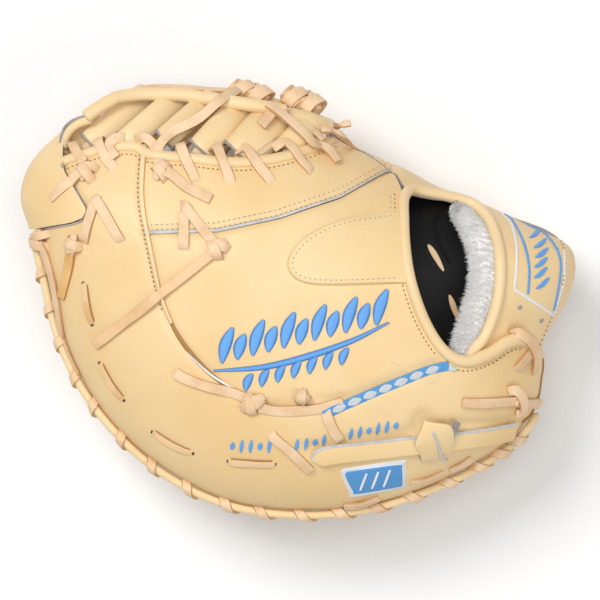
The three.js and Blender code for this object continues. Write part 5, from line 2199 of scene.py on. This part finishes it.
@dataclass
class Needlework:
    """Sewn-on pieces and satin-stitched ornaments, all plain and generic."""

    finishes: Finishes

    def stroke(
        self, rows: Places, half: float, lift: float = 0.0, deep: float = 0.5, taper: float = 1.0
    ) -> bpy.types.Object:
        """One satin stroke over the leather, as wide as twice half, and thinner at its ends by taper."""
        line = even(to_mm(through(rows, 8)), 0.8)
        places = to_places(line)
        at, up = BACK.on(places, RELIEF.lift(places) + lift + 0.15)
        t = np.linspace(0, 1, len(at))
        width = half * (1 - taper + taper * np.sin(math.pi * (0.06 + 0.88 * t)) ** 0.8)
        return swept("stroke", Station.of(at, up, width, deep), Section.FLATTENED, 14, 0.4)

    def sewn(
        self, name: str, strokes: Sequence[bpy.types.Object], thread: bpy.types.Material,
        nodes: Sequence[str] = (),
    ) -> None:
        """Strokes joined into one piece."""
        whole = Make.join(name, strokes)
        Make.rounded(whole, 60)
        dress(whole, "patch", thread, nodes=nodes)

    def leaves(self) -> None:
        """The long row of leaves on the middle of the back, with a stem under it."""
        rows = []
        for k in range(11):
            x, y = -7.6 + k * 1.5, -6.1 + k * 0.37
            tall = 3.4 if k % 2 == 0 else 2.4
            rows.append((((x, y), (x + 0.1 * tall, y + tall * 0.5), (x + 0.32 * tall, y + tall)), 2.9))
        for k in range(7):
            x, y = -4.6 + k * 1.55, -7.2 + k * 0.42
            rows.append((((x, y), (x - 0.5, y - 0.7), (x - 0.7, y - 1.6)), 1.9))
        rows.append((((-8.4, -6.9), (-3.5, -6.5), (1.0, -5.4), (5.2, -3.9), (8.6, -2.2)), 1.3))
        outline = [self.stroke(line, half + 0.75, deep=0.6) for line, half in rows]
        self.sewn("leaf_outline", outline, self.finishes.deep_blue)
        self.sewn(
            "leaf_row", [self.stroke(line, half, 0.25, 0.9) for line, half in rows], self.finishes.blue
        )

    def seeds(self) -> None:
        """The small row of seeds and dashes under it."""
        line = even(
            to_mm(through(((-6.6, -14.3), (-2.4, -14.3), (1.0, -14.1), (4.0, -13.4), (9.4, -12.3)), 8)),
            count=19,
        )
        strokes = []
        for k, (x, y) in enumerate(to_places(line)):
            if k in (5, 6, 11, 12):
                continue
            tall = 0.62 if k % 3 else 0.34
            strokes.append(
                self.stroke(((x - 0.1, y - tall), (x + 0.1, y + tall)), 1.2 if k % 3 else 1.6, deep=0.4)
            )
        self.sewn("seed_row", strokes, self.finishes.blue)

    def heel_patch(self) -> None:
        """The small sewn label on the heel, plain stripes within a white edge."""
        corners = (
            (4.4, -16.55), (10.0, -15.75), (10.4, -16.2), (10.5, -18.2), (10.1, -18.6), (5.4, -19.5),
            (4.9, -19.1), (4.0, -17.0),
        )
        base = disc("heel_label", through((*corners, corners[0]), 6), (7.2, -17.5), 1.0)
        dress(base, "patch", self.finishes.white, self.finishes.white, nodes=["heel_patch"])
        middle = np.array([7.2, -17.55])
        inner = [tuple(middle + (np.array(c) - middle) * (0.87, 0.78)) for c in corners]
        field_cloth = disc("heel_label_field", through((*inner, inner[0]), 6), (7.2, -17.55), 0.5, 1.0, 0.6)
        dress(field_cloth, "patch", self.finishes.blue_cloth, self.finishes.blue_cloth)
        strokes = [
            self.stroke(
                ((5.9 + k * 1.15, -18.6 + k * 0.17), (6.5 + k * 1.15, -16.95 + k * 0.17)), 0.8, 1.5, 0.35,
                0.2,
            )
            for k in range(3)
        ]
        self.sewn("heel_label_stripes", strokes, self.finishes.white)

    def wrist(self) -> None:
        """The stitched frame on the strap, with a small run of leaves in it and two eyelets."""
        low = -STRAP_DROP
        white = (
            ((20.2, 9.4), (20.75, 8.8), (21.3, 7.9), (21.5, 5.3), (21.45, 3.0), (21.26, 1.0)),
            ((21.26, 1.0), (23.4, -0.4), (25.6, -1.8)),
            ((25.6, -1.8), (26.2, 0.2), (26.66, 2.2), (26.7, 5.3)),
        )
        blue = (
            ((20.75, 9.1), (21.5, 8.35), (22.3, 6.0), (22.8, 3.3), (22.7, 0.5)),
            ((23.7, 8.3), (25.1, 6.7), (26.1, 4.6), (26.2, 2.5), (25.6, -1.3)),
        )
        lines = [self.stroke(rows, 0.85, low, 0.35, 0.1) for rows in white]
        self.sewn("wrist_frame", lines, self.finishes.white, nodes=["wrist_patch"])
        strokes = [self.stroke(rows, 0.85, low, 0.35, 0.1) for rows in blue]
        for k in range(6):
            x, y = 22.95 + k * 0.16 + 0.25 * math.sin(k * 1.1), 7.0 - k * 1.12
            strokes.append(self.stroke(((x, y - 0.35), (x + 0.6, y), (x + 1.35, y + 0.75)), 1.5, low, 0.6))
        strokes += [
            self.stroke(((24.5 + 0.5 * k, 7.3 - 0.75 * k), (25.0 + 0.5 * k, 6.9 - 0.75 * k)), 0.8, low, 0.4)
            for k in range(3)
        ]
        self.sewn("wrist_leaves", strokes, self.finishes.blue)
        for k, (x, y) in enumerate(((21.9, -0.9), (24.3, -2.3))):
            at, up = BACK.on(np.array([(x, y - 0.12), (x, y + 0.12)]), low + 0.1)
            ring = swept(f"strap_eyelet_{k + 1}", Station.of(at, up, 1.5, 0.5), Section.ROUND, 16, 1.0)
            dress(ring, "lace", self.finishes.cut)

    def piping(self) -> None:
        """The woven piping by the heel: a blue strip with pale lozenges."""
        rows = ((2.3, -11.2), (4.0, -10.5), (7.0, -9.2), (10.0, -7.95), (12.4, -7.0), (14.5, -6.45))
        strip = self.stroke(rows, 3.1, 0.5, 0.8, 0.1)
        tail = self.stroke(((14.1, -6.5), (14.7, -6.65), (15.2, -6.8)), 1.6, 0.3, 0.6, 0.2)
        self.sewn("piping_tail", [tail], self.finishes.pale)
        self.sewn("woven_piping", [strip], self.finishes.blue_cloth, nodes=["seam_piping"])
        middles = to_places(even(to_mm(through(rows, 8)), count=9)[1:-1])
        lozenges = [
            self.stroke(
                ((x - 0.62, y - 0.26), (x, y), (x + 0.62, y + 0.26)), 2.4, 1.2, 0.4
            ) for x, y in middles
        ]
        self.sewn("piping_lozenges", lozenges, self.finishes.pale)

    def pad(self) -> None:
        """The finger pad."""
        outline = np.vstack(
            [through(PAD_OUTLINE, 10), straight(((10.7, 1.6), (10.15, 5.0), (10.1, 8.7)), 6)]
        )
        made = disc("finger_pad_leather", outline, (4.8, 4.7), PAD_RISE, 0.1, 1.6, 1.6)
        self.finishes.leather(made, "finger_pad")

    def pull_strap(self) -> None:
        """The pull strap, with its raw lower edge."""
        run = through(
            (
                (1.3, -15.6), (3.0, -15.1), (6.0, -14.75), (9.7, -14.35), (12.2, -14.1), (15.3, -13.8),
                (18.2, -13.5), (21.3, -13.0),
            ),
            6,
        )
        line = even(to_mm(run), 1.6)
        places = to_places(line)
        t = np.linspace(0, 1, len(line))
        half = 5.6 * np.minimum(1, np.sqrt(np.clip(t / 0.04, 0.02, 1)))
        at, up = BACK.on(places, 2.4)
        up = unit(up + (0.0, 0.0, 0.5))
        made = self.band("pull_strap_leather", at, up, half, 2.2)
        dress(made, "shell", self.finishes.shell, self.finishes.pale_cut, nodes=["pull_strap"])
        edge = at + unit(np.cross(unit(np.gradient(at, axis=0)), up)) * -(half - 0.2)[:, None] - up * 0.6
        lip = swept("pull_strap_edge", Station.of(edge, up, 0.9, 1.0), Section.FLATTENED, 10, 0.5)
        dress(lip, "shell", self.finishes.pale_cut)

    def keeper(self) -> None:
        """The wider keeper folded over the pull strap."""
        places = through(((12.1, -11.7), (12.5, -12.4), (12.95, -13.3), (13.2, -14.4), (13.3, -15.6)), 8)
        t = np.linspace(0, 1, len(places))
        hump = 1.4 + 4.0 * np.sin(math.pi * np.clip(t * 1.05, 0, 1)) ** 0.5
        at, up = BACK.on(places, hump)
        half = 0.6 + 11.8 * smooth(-0.02, 0.46, t) - 3.4 * smooth(0.45, 1.0, t)
        made = self.band("keeper_leather", at, up, half, 2.4)
        fold = through(((12.8, -12.6), (13.2, -13.6), (13.7, -15.0), (14.3, -15.4)), 8)
        fold_at, fold_up = BACK.on(fold, 6.2 - 2.4 * smooth(0.7, 1.0, np.linspace(0, 1, len(fold))))
        lip = swept("keeper_fold", Station.of(fold_at, fold_up, 0.8, 0.8), Section.ROUND, 10, 1.0)
        dress(lip, "shell", self.finishes.pale_cut)
        tab = through(((14.6, -13.3), (14.9, -12.6), (15.2, -11.9)), 8)
        tab_at, tab_up = BACK.on(tab, 3.6)
        felt = swept("keeper_felt", Station.of(tab_at, tab_up, 2.0, 1.6), Section.FLATTENED, 14, 0.8)
        dress(felt, "shell", self.finishes.cut)
        dress(made, "shell", self.finishes.shell, self.finishes.pale_cut, nodes=["strap_keeper"])

    @staticmethod
    def band(name: str, at: np.ndarray, up: np.ndarray, half: np.ndarray, thick: float) -> bpy.types.Object:
        """A band of leather with crowned faces and cut edges."""
        side = unit(np.cross(unit(np.gradient(at, axis=0)), up))
        u = np.linspace(-1, 1, 9)
        crown = 0.5 * (1 - u**2)
        across = u * half[:, None]
        points = at[:, None] + side[:, None] * across[..., None] + up[:, None] * crown[None, :, None]
        return Make.leather(Make.grid(name, points), thick, 0.4, angle=50)

    def edges(self) -> None:
        """Raw edges, the welt along the long seam and the shade beside it."""
        line = beside(INDEX_LOW, 0.5)
        self.plain("index_cut_edge", line, np.linspace(1.15, 0.5, len(line)), 0.5, self.finishes.pale_cut)
        tip = through(((-22.2, 11.2), (-21.6, 10.1), (-20.9, 8.95)), 10)
        self.plain("tip_cut_edge", tip, 0.5, 0.4, self.finishes.cut)
        low_tip = through(((-20.95, 8.6), (-21.4, 7.9), (-22.5, 7.45), (-26.3, 6.95)), 10)
        self.plain("tip_low_edge", low_tip, 0.5, 0.4, self.finishes.pale_cut)
        seam = beside(BACK_SEAM[BACK_SEAM[:, 1] > -2.5], 0.9)
        self.plain("seam_welt", seam, np.linspace(1.5, 0.9, len(seam)), 1.7, self.finishes.roll)
        lower = BACK_SEAM[(BACK_SEAM[:, 1] <= 1.0) & (BACK_SEAM[:, 0] < -5.0)]
        run = beside(lower, 0.4)
        self.plain(
            "seam_shadow", run, 0.4 + 1.3 * np.sin(np.linspace(0, math.pi, len(run))), -0.2,
            self.finishes.shade,
        )
        heel = through(
            ((24.3, -5.9), (24.4, -7.4), (24.2, -8.8), (23.8, -10.0), (23.3, -11.2), (22.4, -12.3)), 10
        )
        self.plain("heel_side_seam", heel, 0.28, 0.1, self.finishes.shade)
        sliver = through(((-11.2, -5.0), (-8.5, -7.5), (-4.6, -9.7)), 10)
        run = beside(sliver, 0.3)
        self.plain(
            "seam_lining", run, 0.25 + 0.5 * np.sin(np.linspace(0, math.pi, len(run))), 0.4,
            self.finishes.white,
        )

    def plain(
        self, name: str, places: np.ndarray, half: Any, lift: float, finish: bpy.types.Material
    ) -> None:
        """A thin rounded strip along places on the back."""
        at, up = BACK.on(places, RELIEF.lift(places) * 0.6 + lift)
        made = swept(name, Station.of(at, up, half, 0.6), Section.ROUND, 12, 0.8)
        Make.rounded(made, 60)
        dress(made, "shell", finish)

    def inside(self) -> None:
        """What shows on the lining inside the opening: two leather lace ends and a thin cord."""
        for k, rows in enumerate(
            (((12.7, 5.4), (13.3, 4.5), (14.2, 2.9)), ((14.8, 0.5), (15.2, -0.6), (15.7, -2.0)))
        ):
            line = through(rows, 8)
            width = 1.9 * np.sin(math.pi * np.linspace(0.1, 0.9, len(line)))
            at, up = CEILING.on(line, LINING_WALL + GAP + 0.5)
            made = swept(f"inner_tab_{k + 1}", Station.of(at, up, width, 0.7), Section.FLATTENED, 12, 0.5)
            dress(made, "lace", self.finishes.lace)
        line = through(((13.9, 8.6), (13.4, 7.4), (13.8, 5.6), (14.8, 3.7)), 10)
        at, up = CEILING.on(line, LINING_WALL + GAP + 0.8)
        cord = swept("lining_piping", Station.of(at, up, 0.7, 0.7), Section.ROUND, 10, 1.0)
        dress(cord, "lining", self.finishes.lining)

    def build(self) -> None:
        """Builds every sewn piece."""
        self.leaves()
        self.seeds()
        self.heel_patch()
        self.wrist()
        self.piping()
        self.pad()
        self.pull_strap()
        self.keeper()
        self.edges()
        self.inside()


WRAP_PLACES = (
    (-26.1, 2.6), (-25.5, -1.0), (-24.95, -4.5), (-23.4, -8.2), (-22.05, -11.5), (-19.1, -15.1),
    (-15.7, -18.0), (-11.6, -20.0), (-7.2, -20.9), (-3.6, -21.5), (0.5, -21.6), (4.4, -21.2),
    (7.9, -20.4), (11.2, -19.0), (14.5, -17.4), (17.3, -15.8), (20.0, -15.0), (21.7, -13.8),
)


@dataclass
class RimLaces:
    """The laces wound over both rims' bindings."""

    finishes: Finishes
    slant: float = 5.0

    def wrap(self, sheet: Sheet, down: int, angle: float, seed: int) -> bpy.types.Object:
        """One turn of lace over a binding, at an angle round the hub."""
        t = np.linspace(0, 1, 26)
        turn = np.radians(172 - 250 * t)
        reach = np.linalg.norm(OUTLINE.rim(np.array([angle])))
        around = angle + (t - 0.5) * 2 * self.slant / reach
        rim = OUTLINE.rim(around)
        size = np.linalg.norm(rim, axis=-1)
        outward = rim / size[:, None]
        middle = rim * ((size - sheet.inset + RIM_WIDTH / 2 + GAP) / size)[:, None]
        z = OUTLINE.column(sheet.edge, around) * HEIGHT - down * RIM_DEPTH * 0.2
        wide, high = RIM_WIDTH / 2 + 0.8, RIM_DEPTH / 2 + 0.8
        c, q = np.cos(turn), np.sin(turn)
        at = np.column_stack([middle + outward * (c * wide)[:, None], z + down * q * high])
        up = unit(np.column_stack([outward * (c / wide)[:, None], down * q / high]))
        return ribbon("wrap", at, up, 5.4, 1.9, seed)

    def build(self) -> None:
        """Winds both rims."""
        for name, sheet, down in (("finger_rim_laces", BACK, 1), ("thumb_rim_laces", THUMB, -1)):
            angles = [float(polar_of(np.array(place))[0]) for place in WRAP_PLACES]
            whole = Make.join(name, [self.wrap(sheet, down, angle, k) for k, angle in enumerate(angles)])
            Make.rounded(whole, 50)
            dress(whole, "lace", self.finishes.lace)


@dataclass(frozen=True)
class Studio:
    """A plain pale floor, soft lights and a camera straight over the mitt, in metres and watts."""

    height: float = 1.895
    lens: float = 178.0
    target: tuple[float, float, float] = (0.0, 0.0, 0.07)
    sky: float = 0.32

    def lamp(self, name: str, at: tuple[float, float, float], power: float, size: float) -> None:
        """A square soft lamp that faces the mitt."""
        data = bpy.data.lights.new(name, "AREA")
        data.energy, data.size = power, size
        item = bpy.data.objects.new(name, data)
        bpy.context.scene.collection.objects.link(item)
        item.location = at
        item.rotation_euler = (Vector(self.target) - Vector(at)).to_track_quat("-Z", "Y").to_euler()

    def build(self) -> None:
        """Builds the floor, the lamps and the camera."""
        Make.clear()
        bpy.ops.mesh.primitive_plane_add(size=8, location=(0, 0, 0))
        floor = bpy.context.object
        floor.name = "studio_floor"
        tree = Tree("pale_floor")
        floor.data.materials.append(tree.finish(Base_Color=(0.93, 0.93, 0.93), Roughness=0.9))
        self.lamp("key", (-0.75, 0.75, 1.9), 24, 0.8)
        self.lamp("fill", (1.0, -1.1, 1.5), 9, 1.2)
        self.lamp("top", (0.0, 0.1, 2.5), 17, 0.9)
        world = bpy.data.worlds.new("studio")
        bpy.context.scene.world = world
        world.use_nodes = True
        background = world.node_tree.nodes["Background"].inputs
        background["Color"].default_value = (1, 1, 1, 1)
        background["Strength"].default_value = self.sky
        data = bpy.data.cameras.new("camera")
        data.lens, data.sensor_width = self.lens, 36.0
        data.clip_start, data.clip_end = 0.05, 20
        camera = bpy.data.objects.new("camera", data)
        bpy.context.scene.collection.objects.link(camera)
        camera.location = (0, 0, self.height)
        bpy.context.scene.camera = camera
        bpy.context.scene.view_settings.view_transform = "Standard"


def main() -> None:
    """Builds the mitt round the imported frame."""
    logging.basicConfig(level=logging.INFO, format="%(name)s: %(message)s")
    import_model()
    finishes = Finishes()
    Studio().build()
    for group in (BackOfMitt, WristStrap, Pocket, Rims, Web, Rawhide, RimLaces, Needlework, Sewing):
        group(finishes).build()
    for name in PLACEHOLDERS:
        bpy.data.materials.remove(bpy.data.materials[name])


if __name__ == "__main__":
    main()
